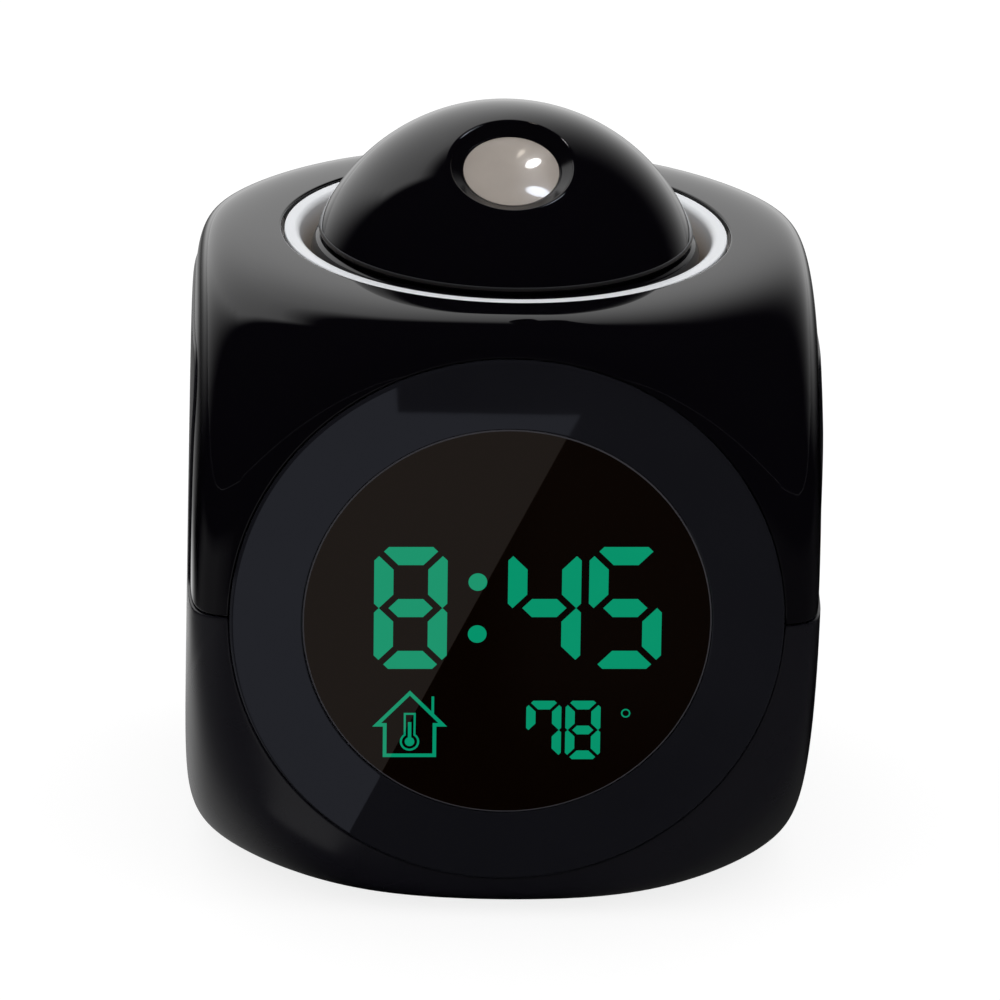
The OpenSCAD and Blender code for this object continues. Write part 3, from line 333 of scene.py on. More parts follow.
def place(piece, finish, body, slot, *nodes):
    """Gives a piece its material, the body it rides on and the nodes it stands for; the record slot argument
    is not used.
    """
    piece.data.materials.clear()
    piece.data.materials.append(finish)
    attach(piece, body)
    if nodes:
        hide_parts(*nodes)


# ---------- skin of the body ----------
OUTSIDE = 80.0      # longer than any line from inside the body to its skin
HALVINGS = 45


def half_sizes(shell, side):
    """Half width, depth and height of the hood's skin (side 1) or the base's (side -1)."""
    return HALF - np.array([shell.hood_inset / MM if side > 0 else 0.0, 0.0, 0.0])


def skin_value(p, shell, half):
    """Level of the skin's formula at points from the body's middle: 1 on the skin.

    The n-th powers of |x|/half width, |y|/half depth, |z|/half height and distance/ball are added.
    """
    n = shell.sharpness
    far = np.linalg.norm(p, axis=-1) / (shell.corner_ball / MM)
    return (np.abs(p / half) ** n).sum(axis=-1) + far ** n


def on_skin(direction, shell, half):
    """Point where a direction from the middle meets the skin."""
    return direction * (skin_value(direction, shell, half) ** (-1 / shell.sharpness))[..., None]


def skin_normal(p, shell, half):
    """Unit gradient of the skin's formula."""
    n = shell.sharpness
    ball = shell.corner_ball / MM
    far = np.linalg.norm(p, axis=-1, keepdims=True)
    slope = np.sign(p) * np.abs(p / half) ** (n - 1) / half + p / far * (far / ball) ** (n - 1) / ball
    return slope / np.linalg.norm(slope, axis=-1, keepdims=True)


def meet_skin(start, way, shell, half):
    """Points where lines from inside the body meet the skin, by halving the interval."""
    low, high = np.zeros(len(start)), np.full(len(start), OUTSIDE)
    for _ in range(HALVINGS):
        middle = (low + high) / 2
        inside = skin_value(start + way * middle[:, None], shell, half) < 1
        low, high = np.where(inside, middle, low), np.where(inside, high, middle)
    return start + way * low[:, None]


def seam_half(side, shell, counts):
    """Right half of a shell's outer edge, from the display's middle line to the middle of the back.

    side is 1 for the hood and -1 for the base. The edge follows the bezel opening, the front seam,
    the upright seam with its two bends, and the shoulder seam.
    """
    half = half_sizes(shell, side)
    away = side * (shell.seam_gap / 2 + shell.edge_roll) / MM
    lift = DISC_Z - BODY_Z
    low = lift + away
    seam_y = FRONT_Y + shell.seam_setback / MM - away
    shoulder = HALF[2] - shell.shoulder_drop / MM + away
    notch = shell.notch_bend / MM - away
    bend = shell.shoulder_bend / MM + away
    opening = DISC_R + (shell.disc_gap + shell.edge_roll) / MM

    def line(xs, ys, zs, way):
        start = np.stack(np.broadcast_arrays(xs, ys, zs), axis=1).astype(float)
        return meet_skin(start, np.broadcast_to(way, start.shape), shell, half)

    turn = np.linspace(math.pi / 2, math.asin(abs(away) / opening), counts[0])
    arc = line(opening * np.cos(turn), 0 * turn, lift + side * opening * np.sin(turn), (0.0, -1.0, 0.0))
    corner = arc[-1]
    corner_way = math.atan2(corner[0], -corner[1])
    end = line(np.zeros(1), np.array([seam_y - notch]), np.array([low]), (1.0, 0.0, 0.0))[0]
    way = np.linspace(corner_way, math.atan2(end[0], -end[1]), counts[1] + 2)[1:-1]
    flat_way = np.stack([np.sin(way), -np.cos(way), 0 * way], axis=1)
    flat = meet_skin(np.stack([0 * way, 0 * way, 0 * way + low], axis=1), flat_way, shell, half)
    third = counts[2] // 3
    a = np.linspace(-math.pi / 2, 0, third, endpoint=False)
    b = np.linspace(math.pi, math.pi / 2, third)
    rise = np.linspace(low + notch, shoulder - bend, counts[2] - 2 * third, endpoint=False)
    ys = np.concatenate([seam_y - notch + notch * np.cos(a), 0 * rise + seam_y,
                         seam_y + bend + bend * np.cos(b)])
    zs = np.concatenate([low + notch + notch * np.sin(a), rise, shoulder - bend + bend * np.sin(b)])
    upright = line(0 * ys, ys, zs, (1.0, 0.0, 0.0))
    last = upright[-1]
    way = np.linspace(math.atan2(last[0], -last[1]), math.pi, counts[3] + 1)[1:]
    back_way = np.stack([np.sin(way), -np.cos(way), 0 * way], axis=1)
    back = meet_skin(np.stack([0 * way, 0 * way, 0 * way + shoulder], axis=1), back_way, shell, half)
    return np.concatenate([arc, flat, upright, back])


def both_sides(half):
    """Closed curve from its right half, whose two ends lie on the middle plane."""
    left = half[-2:0:-1] * np.array([-1, 1, 1])
    return np.concatenate([half, left])


def swept(first, last, shares):
    """Directions between two closed curves along great circles: rows by columns by three."""
    a = first / np.linalg.norm(first, axis=-1, keepdims=True)
    b = last / np.linalg.norm(last, axis=-1, keepdims=True)
    a, b = np.broadcast_arrays(a, b)
    angle = np.arccos(np.clip((a * b).sum(axis=-1), -1, 1))[None, :, None]
    t = np.asarray(shares)[:, None, None]
    return (np.sin((1 - t) * angle) * a + np.sin(t * angle) * b) / np.sin(angle)


def rolled(edge, inner_row, normal, roll, depth, steps=5):
    """Rows that turn a patch's edge inwards along a quarter circle and then down to a depth."""
    along = np.roll(edge, -1, axis=0) - np.roll(edge, 1, axis=0)
    out = np.cross(along, normal)
    out /= np.linalg.norm(out, axis=1, keepdims=True)
    out *= np.sign(((edge - inner_row) * out).sum(axis=1).mean())
    rows = []
    for a in np.linspace(0, math.pi / 2, steps + 1)[1:]:
        rows.append(edge + roll * math.sin(a) * out - roll * (1 - math.cos(a)) * normal)
    rows.append(edge + roll * out - (roll + 0.15) * normal)
    rows.append(edge + roll * out - depth * normal)
    return np.array(rows)


def eased(count, ends=(0.004, 0.004)):
    """Shares from 0 to 1 with one extra row held close to each end."""
    return np.concatenate([[0.0, ends[0]], np.linspace(0, 1, count)[1:-1], [1 - ends[1], 1.0]])


# points on each stretch of the half seam: bezel arc, flat, upright with its bends, shoulder
EDGE_COUNTS = (72, 9, 60, 118)
# where those stretches start and end round the ring opening, in degrees from the front
RING_AZIMUTHS = (0.0, 40.0, 47.0, 68.0, 180.0)
# rows of points on the outer skin and on the inner one
HOOD_ROWS, HOOD_INNER_ROWS = 108, 22
BASE_ROWS, BASE_INNER_ROWS = 132, 30


def hood_grid(shell):
    """Hood as a closed band: out along the skin from ring opening to seam, and back inside."""
    half = seam_half(1, shell, EDGE_COUNTS)
    roll = shell.edge_roll / MM
    depth = shell.wall / MM
    opening = (shell.ring_opening + shell.edge_roll) / MM
    ways = [np.linspace(RING_AZIMUTHS[k], RING_AZIMUTHS[k + 1], n + (k > 0))[(1 if k > 0 else 0):]
            for k, n in enumerate(EDGE_COUNTS)]
    way = np.radians(np.concatenate(ways))
    start = np.stack([opening * np.sin(way), -opening * np.cos(way), 0 * way], axis=1)
    sizes = half_sizes(shell, 1)
    top = meet_skin(start, np.broadcast_to((0.0, 0.0, 1.0), start.shape), shell, sizes)
    first, last = both_sides(top), both_sides(half)
    outer = on_skin(swept(first, last, eased(HOOD_ROWS)), shell, sizes)
    inner = on_skin(swept(last, first, np.linspace(0, 1, HOOD_INNER_ROWS)), shell, sizes)
    inner = inner - depth * skin_normal(inner, shell, sizes)
    low = rolled(outer[-1], outer[-3], skin_normal(outer[-1], shell, sizes), roll, depth)
    high = rolled(outer[0], outer[2], skin_normal(outer[0], shell, sizes), roll, depth)
    return np.concatenate([outer, low, inner[1:-1], high[::-1]]) + CENTRE


def base_grid(shell):
    """Base as a closed bowl: out along the skin from the lower back edge to the seam, and back inside."""
    half = seam_half(-1, shell, EDGE_COUNTS)
    roll = shell.edge_roll / MM
    depth = shell.wall / MM
    last = both_sides(half)
    pole = np.array([0.0, 0.7, -0.714])
    first = np.broadcast_to(pole, last.shape)
    outer = on_skin(swept(first, last, eased(BASE_ROWS)[1:]), shell, HALF)
    inner = on_skin(swept(last, first, np.linspace(0, 1, BASE_INNER_ROWS)[:-1]), shell, HALF)
    inner = inner - depth * skin_normal(inner, shell, HALF)
    low = rolled(outer[-1], outer[-3], skin_normal(outer[-1], shell, HALF), roll, depth)
    tip = on_skin(pole[None], shell, HALF)
    ends = np.concatenate([tip, tip - depth * skin_normal(tip, shell, HALF)]) + CENTRE
    return np.concatenate([outer, low, inner[1:]]) + CENTRE, ends


# ---------- cutters ----------
def plug_points(half_u, half_v, bend, levels, steps=12):
    """Rows of a rounded rectangle that grows by each level's second value at its first value."""
    turn = np.linspace(0, math.pi / 2, steps)
    angle = np.concatenate([turn + k * math.pi / 2 for k in range(4)])
    su = np.repeat([1, -1, -1, 1], steps) * (half_u - bend)
    sv = np.repeat([1, 1, -1, -1], steps) * (half_v - bend)
    rows = [np.stack([su + (bend + grow) * np.cos(angle), sv + (bend + grow) * np.sin(angle),
                      np.full(len(angle), depth)], axis=1) for depth, grow in levels]
    return np.array(rows)


def plug(name, middle, axis, half_u, half_v, bend, levels):
    """Closed cutter round a middle; depth runs along the axis, which is y or z."""
    grid = plug_points(half_u, half_v, bend, levels)
    order = [0, 2, 1] if axis == "y" else [0, 1, 2]
    grid = grid[..., order] + np.array(middle)
    ends = [np.array([0.0, 0.0, levels[k][0]])[order] + np.array(middle) for k in (0, -1)]
    return skinned(name, grid, loop_rows=False, ends=ends)


def joined(name, pieces):
    """One object from several separate closed ones."""
    meshes = [p.data for p in pieces]
    points, quads, tris, start = [], [], [], 0
    for mesh in meshes:
        co = np.empty(len(mesh.vertices) * 3)
        mesh.vertices.foreach_get("co", co)
        points.append(co.reshape(-1, 3) / MM)
        for face in mesh.polygons:
            (quads if len(face.vertices) == 4 else tris).append([v + start for v in face.vertices])
        start += len(mesh.vertices)
    for piece in pieces:
        bpy.data.objects.remove(piece)
    return mesh_object(name, np.concatenate(points), np.array(quads).reshape(-1, 4),
                       np.array(tris).reshape(-1, 3))


def cut_away(piece, cutters):
    """Takes the joined cutters out of a piece and removes them."""
    tool = joined("cutter", cutters)
    step = piece.modifiers.new("cut", "BOOLEAN")
    step.operation = "DIFFERENCE"
    step.solver = "MANIFOLD"
    step.object = tool
    shaped = bpy.data.meshes.new_from_object(piece.evaluated_get(bpy.context.evaluated_depsgraph_get()))
    piece.modifiers.clear()
    old = piece.data
    piece.data = shaped
    bpy.data.meshes.remove(old)
    bpy.data.objects.remove(tool)
    shaped.polygons.foreach_set("use_smooth", np.ones(len(shaped.polygons), dtype=bool))
    shaped.update()


# ---------- materials ----------
def add_node(tree, kind, inputs=None, **settings):
    """Adds a node, sets its settings, and fills its inputs with values or links."""
    made = tree.nodes.new(kind)
    for key, value in settings.items():
        setattr(made, key, value)
    for key, value in (inputs or {}).items():
        if isinstance(value, bpy.types.NodeSocket):
            tree.links.new(value, made.inputs[key])
        else:
            made.inputs[key].default_value = value
    return made


def emptied(holder):
    """Node tree of a material or world, with nothing in it."""
    holder.use_nodes = True
    holder.node_tree.nodes.clear()
    return holder.node_tree


def blank_material(name, sockets):
    """A material with an output and a principled shader whose sockets are set, and its tree."""
    material = bpy.data.materials.new(name)
    tree = emptied(material)
    shader = add_node(tree, "ShaderNodeBsdfPrincipled", sockets)
    add_node(tree, "ShaderNodeOutputMaterial", {"Surface": shader.outputs["BSDF"]})
    return material, tree, shader


def shade(colour, share=1.0):
    """A linear colour made darker or lighter, with alpha 1."""
    return tuple(min(1.0, c * share) for c in tuple(colour)[:3]) + (1.0,)


def grain(tree, size_mm, detail=2.0, rough=0.5):
    """Noise on object coordinates whose lumps measure size_mm."""
    place_node = add_node(tree, "ShaderNodeTexCoord")
    return add_node(tree, "ShaderNodeTexNoise", {"Vector": place_node.outputs["Object"],
                                                 "Scale": 1 / (size_mm * MM), "Detail": detail,
                                                 "Roughness": rough})


def moulded(name, colour, rough, grain_mm, relief_mm, spread=0.04, sheen_tone=(1.0, 1.0, 1.0, 1.0)):
    """Moulded plastic: even colour with a faint cloud, uneven gloss and a moulding grain."""
    material, tree, shader = blank_material(name, {"IOR": 1.5, "Specular Tint": sheen_tone})
    clouds = grain(tree, 14.0, 3.0)
    mix = add_node(tree, "ShaderNodeMix", {"Factor": clouds.outputs["Fac"], 6: shade(colour, 0.88),
                                           7: shade(colour, 1.12)}, data_type="RGBA")
    tree.links.new(mix.outputs[2], shader.inputs["Base Color"])
    gloss = add_node(tree, "ShaderNodeMapRange", {"Value": clouds.outputs["Fac"],
                                                  "To Min": max(0.0, rough - spread),
                                                  "To Max": rough + spread})
    tree.links.new(gloss.outputs["Result"], shader.inputs["Roughness"])
    lumps = grain(tree, grain_mm)
    bump = add_node(tree, "ShaderNodeBump", {"Height": lumps.outputs["Fac"], "Distance": relief_mm * MM,
                                             "Strength": 1.0})
    tree.links.new(bump.outputs["Normal"], shader.inputs["Normal"])
    return material


def metal(name, code, rough, streak_mm):
    """Drawn or rolled metal: a metallic shader with fine uneven gloss."""
    material, tree, shader = blank_material(name, {"Metallic": 1.0})
    streaks = grain(tree, streak_mm, 4.0)
    mix = add_node(tree, "ShaderNodeMix", {"Factor": streaks.outputs["Fac"], 6: shade(linear(code), 0.85),
                                           7: linear(code)}, data_type="RGBA")
    tree.links.new(mix.outputs[2], shader.inputs["Base Color"])
    gloss = add_node(tree, "ShaderNodeMapRange", {"Value": streaks.outputs["Fac"], "To Min": rough - 0.07,
                                                  "To Max": rough + 0.07})
    tree.links.new(gloss.outputs["Result"], shader.inputs["Roughness"])
    return material


def circuit_board(name):
    """Solder-masked board: green lacquer over copper, with lighter tracks on a fine grid."""
    material, tree, shader = blank_material(name, {"Roughness": 0.28})
    spot = add_node(tree, "ShaderNodeTexCoord")
    bricks = add_node(tree, "ShaderNodeTexBrick",
                      {"Vector": spot.outputs["Object"], "Color1": linear("#1C6B38"),
                       "Color2": linear("#1A6434"), "Mortar": linear("#2E8A4C"),
                       "Scale": 1 / (9 * MM), "Mortar Size": 0.03})
    tree.links.new(bricks.outputs["Color"], shader.inputs["Base Color"])
    return material


# smoked acrylic's polished face, its mirror image a little warm
SMOKED_FACE = {"Roughness": 0.012, "IOR": 1.49, "Specular Tint": (0.83, 0.71, 0.63, 1.0)}


def smoked_acrylic(name, colour):
    """Smoked acrylic: polished and nearly black, with a paler grey ring painted along its edge as a
    highlight.
    """
    material, tree, shader = blank_material(name, SMOKED_FACE)
    spot = add_node(tree, "ShaderNodeTexCoord")
    flat = add_node(tree, "ShaderNodeVectorMath", {0: spot.outputs["Object"], 1: (1.0, 0.0, 1.0),
                                                   2: (0.0, 0.0, -DISC_Z * MM)}, operation="MULTIPLY_ADD")
    reach = add_node(tree, "ShaderNodeVectorMath", {0: flat.outputs[0]}, operation="LENGTH")
    # painted highlight: the outer quarter millimetre of the window turns a paler grey all round
    edge = add_node(tree, "ShaderNodeMapRange", {"Value": reach.outputs["Value"],
                                                 "From Min": (WINDOW_R - 0.26) * MM,
                                                 "From Max": (WINDOW_R - 0.2) * MM})
    clouds = grain(tree, 30.0)
    body = add_node(tree, "ShaderNodeMix", {"Factor": clouds.outputs["Fac"], 6: shade(colour),
                                            7: shade(colour, 1.15)}, data_type="RGBA")
    mix = add_node(tree, "ShaderNodeMix", {"Factor": edge.outputs["Result"], 6: body.outputs[2],
                                           7: linear("#4C4B50")}, data_type="RGBA")
    tree.links.new(mix.outputs[2], shader.inputs["Base Color"])
    return material


def lit_segment(name, colour):
    """Lit liquid crystal shape: glows an even green under the window's gloss."""
    material, tree, shader = blank_material(name, {**SMOKED_FACE, "Base Color": (0.0, 0.012, 0.006, 1.0),
                                                   "Emission Strength": 1.0})
    glow = grain(tree, 6.0)
    mix = add_node(tree, "ShaderNodeMix", {"Factor": glow.outputs["Fac"], 6: shade(colour, 0.97),
                                           7: shade(colour, 1.03)}, data_type="RGBA")
    tree.links.new(mix.outputs[2], shader.inputs["Emission Color"])
    return material


def ring_plastic(name, colour):
    """White translucent plastic: bright on its rim, with painted shade that makes it warmer and darker down
    the funnel.
    """
    material, tree, shader = blank_material(name, {"Roughness": 0.32, "Subsurface Weight": 0.3,
                                                   "Subsurface Radius": (1.0, 1.0, 1.0),
                                                   "Subsurface Scale": 1.6 * MM})
    spot = add_node(tree, "ShaderNodeTexCoord")
    split = add_node(tree, "ShaderNodeSeparateXYZ", {"Vector": spot.outputs["Object"]})
    # painted shade: beige at 4.2 mm below the top face, blending to full white 0.5 mm below it
    painted_funnel_shade = add_node(tree, "ShaderNodeMapRange", {"Value": split.outputs["Z"],
                                                 "From Min": (TOP_Z - 4.2) * MM,
                                                 "From Max": (TOP_Z - 0.5) * MM})
    mix = add_node(tree, "ShaderNodeMix", {"Factor": painted_funnel_shade.outputs["Result"], 6: linear("#FBEADB"),
                                           7: shade(colour)}, data_type="RGBA")
    tree.links.new(mix.outputs[2], shader.inputs["Base Color"])
    lumps = grain(tree, 3.0)
    bump = add_node(tree, "ShaderNodeBump", {"Height": lumps.outputs["Fac"], "Distance": 0.004 * MM})
    tree.links.new(bump.outputs["Normal"], shader.inputs["Normal"])
    return material


def lens_polymer(name, colour):
    """Moulded optical polymer over a pale slide: milky warm grey with a clear polished face."""
    material, tree, shader = blank_material(name, {"Roughness": 0.3, "IOR": 1.49, "Coat Weight": 1.0,
                                                   "Coat Roughness": 0.02})
    haze = grain(tree, 5.0)
    mix = add_node(tree, "ShaderNodeMix", {"Factor": haze.outputs["Fac"], 6: shade(colour, 0.86),
                                           7: shade(colour, 1.08)}, data_type="RGBA")
    tree.links.new(mix.outputs[2], shader.inputs["Base Color"])
    return material


def clear_glass(name, code):
    """Float glass of a display panel or lens: tinted and smooth."""
    material, tree, shader = blank_material(name, {"Roughness": 0.08, "IOR": 1.5})
    lumps = grain(tree, 20.0)
    mix = add_node(tree, "ShaderNodeMix", {"Factor": lumps.outputs["Fac"], 6: linear(code),
                                           7: shade(linear(code), 1.1)}, data_type="RGBA")
    tree.links.new(mix.outputs[2], shader.inputs["Base Color"])
    return material


MATERIALS = {}


def finish(key):
    """Material for a finish, made once."""
    colours = bpy.context.scene.clock_finish
    if key not in MATERIALS:
        makers = {
            # polished mould, a mirror with a trace of orange peel
            "gloss": lambda: moulded("polished_black_abs", colours.gloss_black, 0.025, 3.0, 0.0005,
                                     spread=0.008),
            # same plastic from a duller mould, soft gloss in the recess
            "seat": lambda: moulded("soft_gloss_black_abs", colours.gloss_black, 0.13, 1.5, 0.001),
            # spark-eroded mould, grit of about a third of a millimetre, soft sheen
            "satin": lambda: moulded("textured_black_abs", colours.satin_black, 0.28, 0.35, 0.008),
            # polished mould, its gloss a little blue
            "bezel": lambda: moulded("moulded_bezel_abs", colours.bezel_black, 0.025, 2.0, 0.0002,
                                     spread=0.008, sheen_tone=(0.75, 0.81, 1.0, 1.0)),
            "window": lambda: smoked_acrylic("smoked_acrylic", colours.window_black),
            "lit": lambda: lit_segment("lit_segment", colours.lit_green),
            "ring": lambda: ring_plastic("translucent_white_polystyrene", colours.ring_white),
            "lens": lambda: lens_polymer("lens_polymer", colours.lens_grey),
            "black": lambda: moulded("matt_black_abs", linear("#1B1B1E"), 0.5, 0.4, 0.01),
            "key": lambda: moulded("key_black_abs", linear("#1F1F23"), 0.34, 0.5, 0.006),
            "rubber": lambda: moulded("foot_rubber", linear("#202023"), 0.72, 0.3, 0.02),
            "grey": lambda: moulded("acetal_grey", linear("#55585E"), 0.38, 0.6, 0.006),
            "fibre": lambda: moulded("fibre_washer", linear("#3F3A36"), 0.85, 0.25, 0.03),
            "cone": lambda: moulded("cone_paper", linear("#222225"), 0.8, 0.5, 0.03),
            "guide": lambda: moulded("light_guide_acrylic", linear("#DCE6E2"), 0.25, 0.8, 0.004),
            "zebra": lambda: moulded("contact_rubber", linear("#C9A7A0"), 0.6, 0.4, 0.01),
            "ribbon": lambda: moulded("ribbon_film", linear("#8A8F96"), 0.35, 1.0, 0.004),
            "led": lambda: moulded("led_epoxy", linear("#C8402F"), 0.12, 2.0, 0.002),
            "board": lambda: circuit_board("solder_masked_board"),
            "panel": lambda: clear_glass("panel_glass", "#0F4436"),
            "glass": lambda: clear_glass("condenser_glass", "#B8C2C6"),
            "steel": lambda: metal("zinc_plated_steel", "#B9BDC4", 0.32, 0.3),
            "nickel": lambda: metal("nickel_plated_spring", "#D2D0C8", 0.22, 0.4),
            "magnet": lambda: metal("ferrite_and_steel", "#6A6D73", 0.45, 0.3),
            "brass": lambda: metal("contact_brass", "#D9A441", 0.25, 0.3),
        }
        MATERIALS[key] = makers[key]()
    return MATERIALS[key]


NODE_FINISH = {
    "lcd_frame": "black", "lcd_panel": "panel", "backlight_panel": "guide", "zebra_strip": "zebra",
    "main_board": "board", "board_chips": "black", "board_screws": "steel", "ribbon_cable": "ribbon",
    "button_board": "board", "tact_switches": "black", "speaker_basket": "steel",
    "speaker_cone": "cone", "speaker_magnet": "magnet", "speaker_clamp": "black",
    "speaker_screws": "steel", "battery_tray": "black", "battery_contacts": "nickel",
    "battery_springs": "nickel", "dc_socket": "black", "socket_contact": "brass",
    "switch_body": "steel", "case_screws": "steel", "head_well": "black", "well_screws": "steel",
    "snooze_board": "board", "snooze_switch": "black", "snooze_screws": "steel",
    "press_carriage": "grey", "carriage_clip": "nickel", "friction_washer": "fibre",
    "press_spring": "nickel", "swivel_washer": "steel", "swivel_screw": "steel",
    "projector_tube": "black", "condenser_lens": "glass", "projector_lcd": "panel",
    "projector_led": "led", "led_board": "board", "projector_mount": "black",
    "switch_knob": "key",
}


# ---------- operators: the pieces ----------
class CLOCK_OT_hood(bpy.types.Operator):
    """Polished hood: the whole top and the strips beside the upper half of the display."""

    bl_idname = "clock.hood"
    bl_label = "Hood"

    def execute(self, context):
        shell = context.scene.clock_shell
        piece = skinned("hood_shell", hood_grid(shell), loop_rows=True)
        crease(piece, 50)
        place(piece, finish("gloss"), "housing", "gloss_black", "hood")
        return {"FINISHED"}


class CLOCK_OT_base(bpy.types.Operator):
    """Textured base: bottom, lower front, sides and back, with every opening cut through it."""

    bl_idname = "clock.base"
    bl_label = "Base housing"

    def execute(self, context):
        shell = context.scene.clock_shell
        grid, ends = base_grid(shell)
        piece = skinned("base_shell", grid, loop_rows=False, ends=ends)
        cut_away(piece, base_recesses())
        cut_away(piece, base_openings())
        crease(piece, 50)
        place(piece, finish("satin"), "housing", "satin_black", "base_housing")
        posts = [post_ring(x, y) for x in (-POST_X, POST_X) for y in (-POST_Y, POST_Y)]
        ring = joined("screw_posts", posts)
        crease(ring)
        place(ring, finish("black"), "housing", "satin_black")
        return {"FINISHED"}


def back_levels(depth, grow=0.0):
    """Levels of a cutter through the back: straight inside, with a chamfer at the outer face."""
    surface = BACK_Y - grow
    return [(surface - depth, 0.0), (surface - CHAMFER, 0.0), (surface + 0.05, CHAMFER + 0.05),
            (BACK_Y + STICK_OUT, CHAMFER + STICK_OUT + BACK_Y - surface)]


def foot_levels(depth):
    """Levels of a cutter through the floor, from below, with a chamfer at the outer face."""
    return [(FLOOR_Z - STICK_OUT, CHAMFER + STICK_OUT), (FLOOR_Z - 0.05, CHAMFER + 0.05),
            (FLOOR_Z + CHAMFER, 0.0), (FLOOR_Z + depth, 0.0)]


def base_recesses():
    """Shallow recesses: the key panel, the slide switch's track and the foot pockets."""
    half = 2 * BUTTON_PITCH + PANEL_R
    pocket_r = FOOT_R + FOOT_GAP
    cutters = [plug("panel", (0, 0, BUTTON_Z), "y", half, PANEL_R, PANEL_R, back_levels(PANEL_DEPTH)),
               plug("track", (SWITCH_X, 0, PORT_Z), "y", SWITCH_HALF + 1, 2.5, 1.0,
                    back_levels(PANEL_DEPTH))]
    for x, y in FEET_PLACES:
        cutters.append(plug("pocket", (x, y, 0), "z", pocket_r, pocket_r, pocket_r,
                            foot_levels(POCKET_DEPTH)))
    return cutters


def base_openings():
    """Openings right through: keys, speaker slots, socket, switch slot, screw wells and door."""
    cutters = []
    for k in range(-2, 3):
        cutters.append(plug("key", (k * BUTTON_PITCH, 0, BUTTON_Z), "y", KEY_HOLE_R, KEY_HOLE_R, KEY_HOLE_R,
                            [(BACK_Y - 4, 0), (BACK_Y - PANEL_DEPTH - 0.2, 0),
                             (BACK_Y + STICK_OUT, PANEL_DEPTH + STICK_OUT)]))
    for k in range(-4, 5):
        x = k * SLOT_PITCH
        tall = math.sqrt(SPEAKER_R ** 2 - x * x)
        cutters.append(plug("slot", (x, 0, SPEAKER_Z), "y", SLOT_HALF, tall, 0.74, back_levels(THROUGH)))
    cutters.append(plug("socket", (PORT_X, 0, PORT_Z), "y", SOCKET_R, SOCKET_R, SOCKET_R,
                        back_levels(THROUGH)))
    cutters.append(plug("switch", (SWITCH_X, 0, PORT_Z), "y", SWITCH_HALF, 1.5, 0.5,
                        [(BACK_Y - THROUGH, 0), (BACK_Y + STICK_OUT, 0)]))
    for x in (-POST_X, POST_X):
        for y in (-POST_Y, POST_Y):
            cutters.append(plug("well", (x, y, 0), "z", WELL_R, WELL_R, WELL_R, foot_levels(THROUGH)))
    door_y = DOOR_HALF_Y + DOOR_GAP
    cutters.append(plug("door", (0, 0, 0), "z", DOOR_HALF_X + DOOR_GAP, door_y, 0.8,
                        foot_levels(THROUGH + 1)))
    cutters.append(plug("nail", (0, -door_y - 1.2, 0), "z", 1.4, 1.8, 1.2,
                        [(FLOOR_Z - STICK_OUT, 2.0), (FLOOR_Z, 0.2), (FLOOR_Z + 0.9, -0.5),
                         (FLOOR_Z + 1.4, -1.0)]))
    return cutters


def post_ring(x, y):
    """Screw post: a tube with a step that the screw's head sits on."""
    low, seat, top = FLOOR_Z + 1, FLOOR_Z + 9, BODY_Z - 16
    outer, bore = 4.2, 1.5
    outline = rounded([(WELL_R, low, 0), (outer, low, 0), (outer, top, 0), (bore, top, 0),
                       (bore, seat, 0), (WELL_R, seat, 0)])
    return turned("post", outline, origin=(x, y, 0), steps=48)


class CLOCK_OT_display(bpy.types.Operator):
    """Round bezel, smoked window and the lit digits and signs."""

    bl_idname = "clock.display"
    bl_label = "Display"

    def execute(self, context):
        steps = context.scene.clock_studio.round_steps
        depth = BEZEL_HIGH[1] - BEZEL_LOW[1]
        sunk = WINDOW_LOW[1] - FRONT_Y
        thick = WINDOW_HIGH[1] - WINDOW_LOW[1]
        seat = WINDOW_R + 0.03
        outline = rounded([(WINDOW_R - 1.4, depth, 0), (WINDOW_R - 1.4, sunk + thick, 0),
                           (seat, sunk + thick, 0), (seat, 0.12, 0.05), (seat + 0.12, 0, 0.05),
                           (DISC_R - 0.3, 0, 0.2), (DISC_R, 0.3, 0.2), (DISC_R, depth, 0)], 4)
        bezel = turned("bezel", outline, (0, FRONT_Y, DISC_Z), -math.pi / 2, steps)
        crease(bezel)
        place(bezel, finish("bezel"), "housing", "bezel_black", "bezel_ring")
        rim = [(0, 0), (WINDOW_R * 0.6, 0), (WINDOW_R - 0.34, 0), (WINDOW_R - 0.22, 0),
               (WINDOW_R - 0.06, 0.1), (WINDOW_R, 0.24), (WINDOW_R, 0.4), (WINDOW_R, thick - 0.1),
               (WINDOW_R - 0.1, thick), (WINDOW_R * 0.6, thick), (0, thick)]
        window = turned("window", rim, (0, WINDOW_LOW[1], DISC_Z), -math.pi / 2, steps, closed=False)
        crease(window)
        place(window, finish("window"), "housing", "smoked_window", "display_window")
        make_signs(context.scene.clock_display)
        return {"FINISHED"}


def segment_shapes(width, height, bar):
    """The seven bars of a digit as outlines, from its top left corner, x right and z down.

    Each bar has mitred ends at 45 degrees and a quarter of its thickness cut off at its tips.
    """
    c = bar / 4
    w, m, h = width, height / 2, height
    inner = bar + c
    top = [(2 * c, c), (3 * c, 0), (w - 3 * c, 0), (w - 2 * c, c), (w - bar - c, bar), (bar + c, bar)]
    left = [(c, 2 * c), (bar, inner), (bar, m - bar + c), (c, m), (0, m - c), (0, 3 * c)]
    middle = [(3 * c, m), (3 * c + bar / 2, m - bar / 2), (w - 3 * c - bar / 2, m - bar / 2),
              (w - 3 * c, m), (w - 3 * c - bar / 2, m + bar / 2), (3 * c + bar / 2, m + bar / 2)]
    flip_x = lambda pts: [(w - x, z) for x, z in pts]
    flip_z = lambda pts: [(x, h - z) for x, z in pts]
    return {"a": top, "f": left, "b": flip_x(left), "g": middle, "e": flip_z(left),
            "c": flip_x(flip_z(left)), "d": flip_z(top)}


DIGIT_BARS = {"8": "abcdefg", "4": "fgbc", "5": "afgcd", "7": "fabc"}


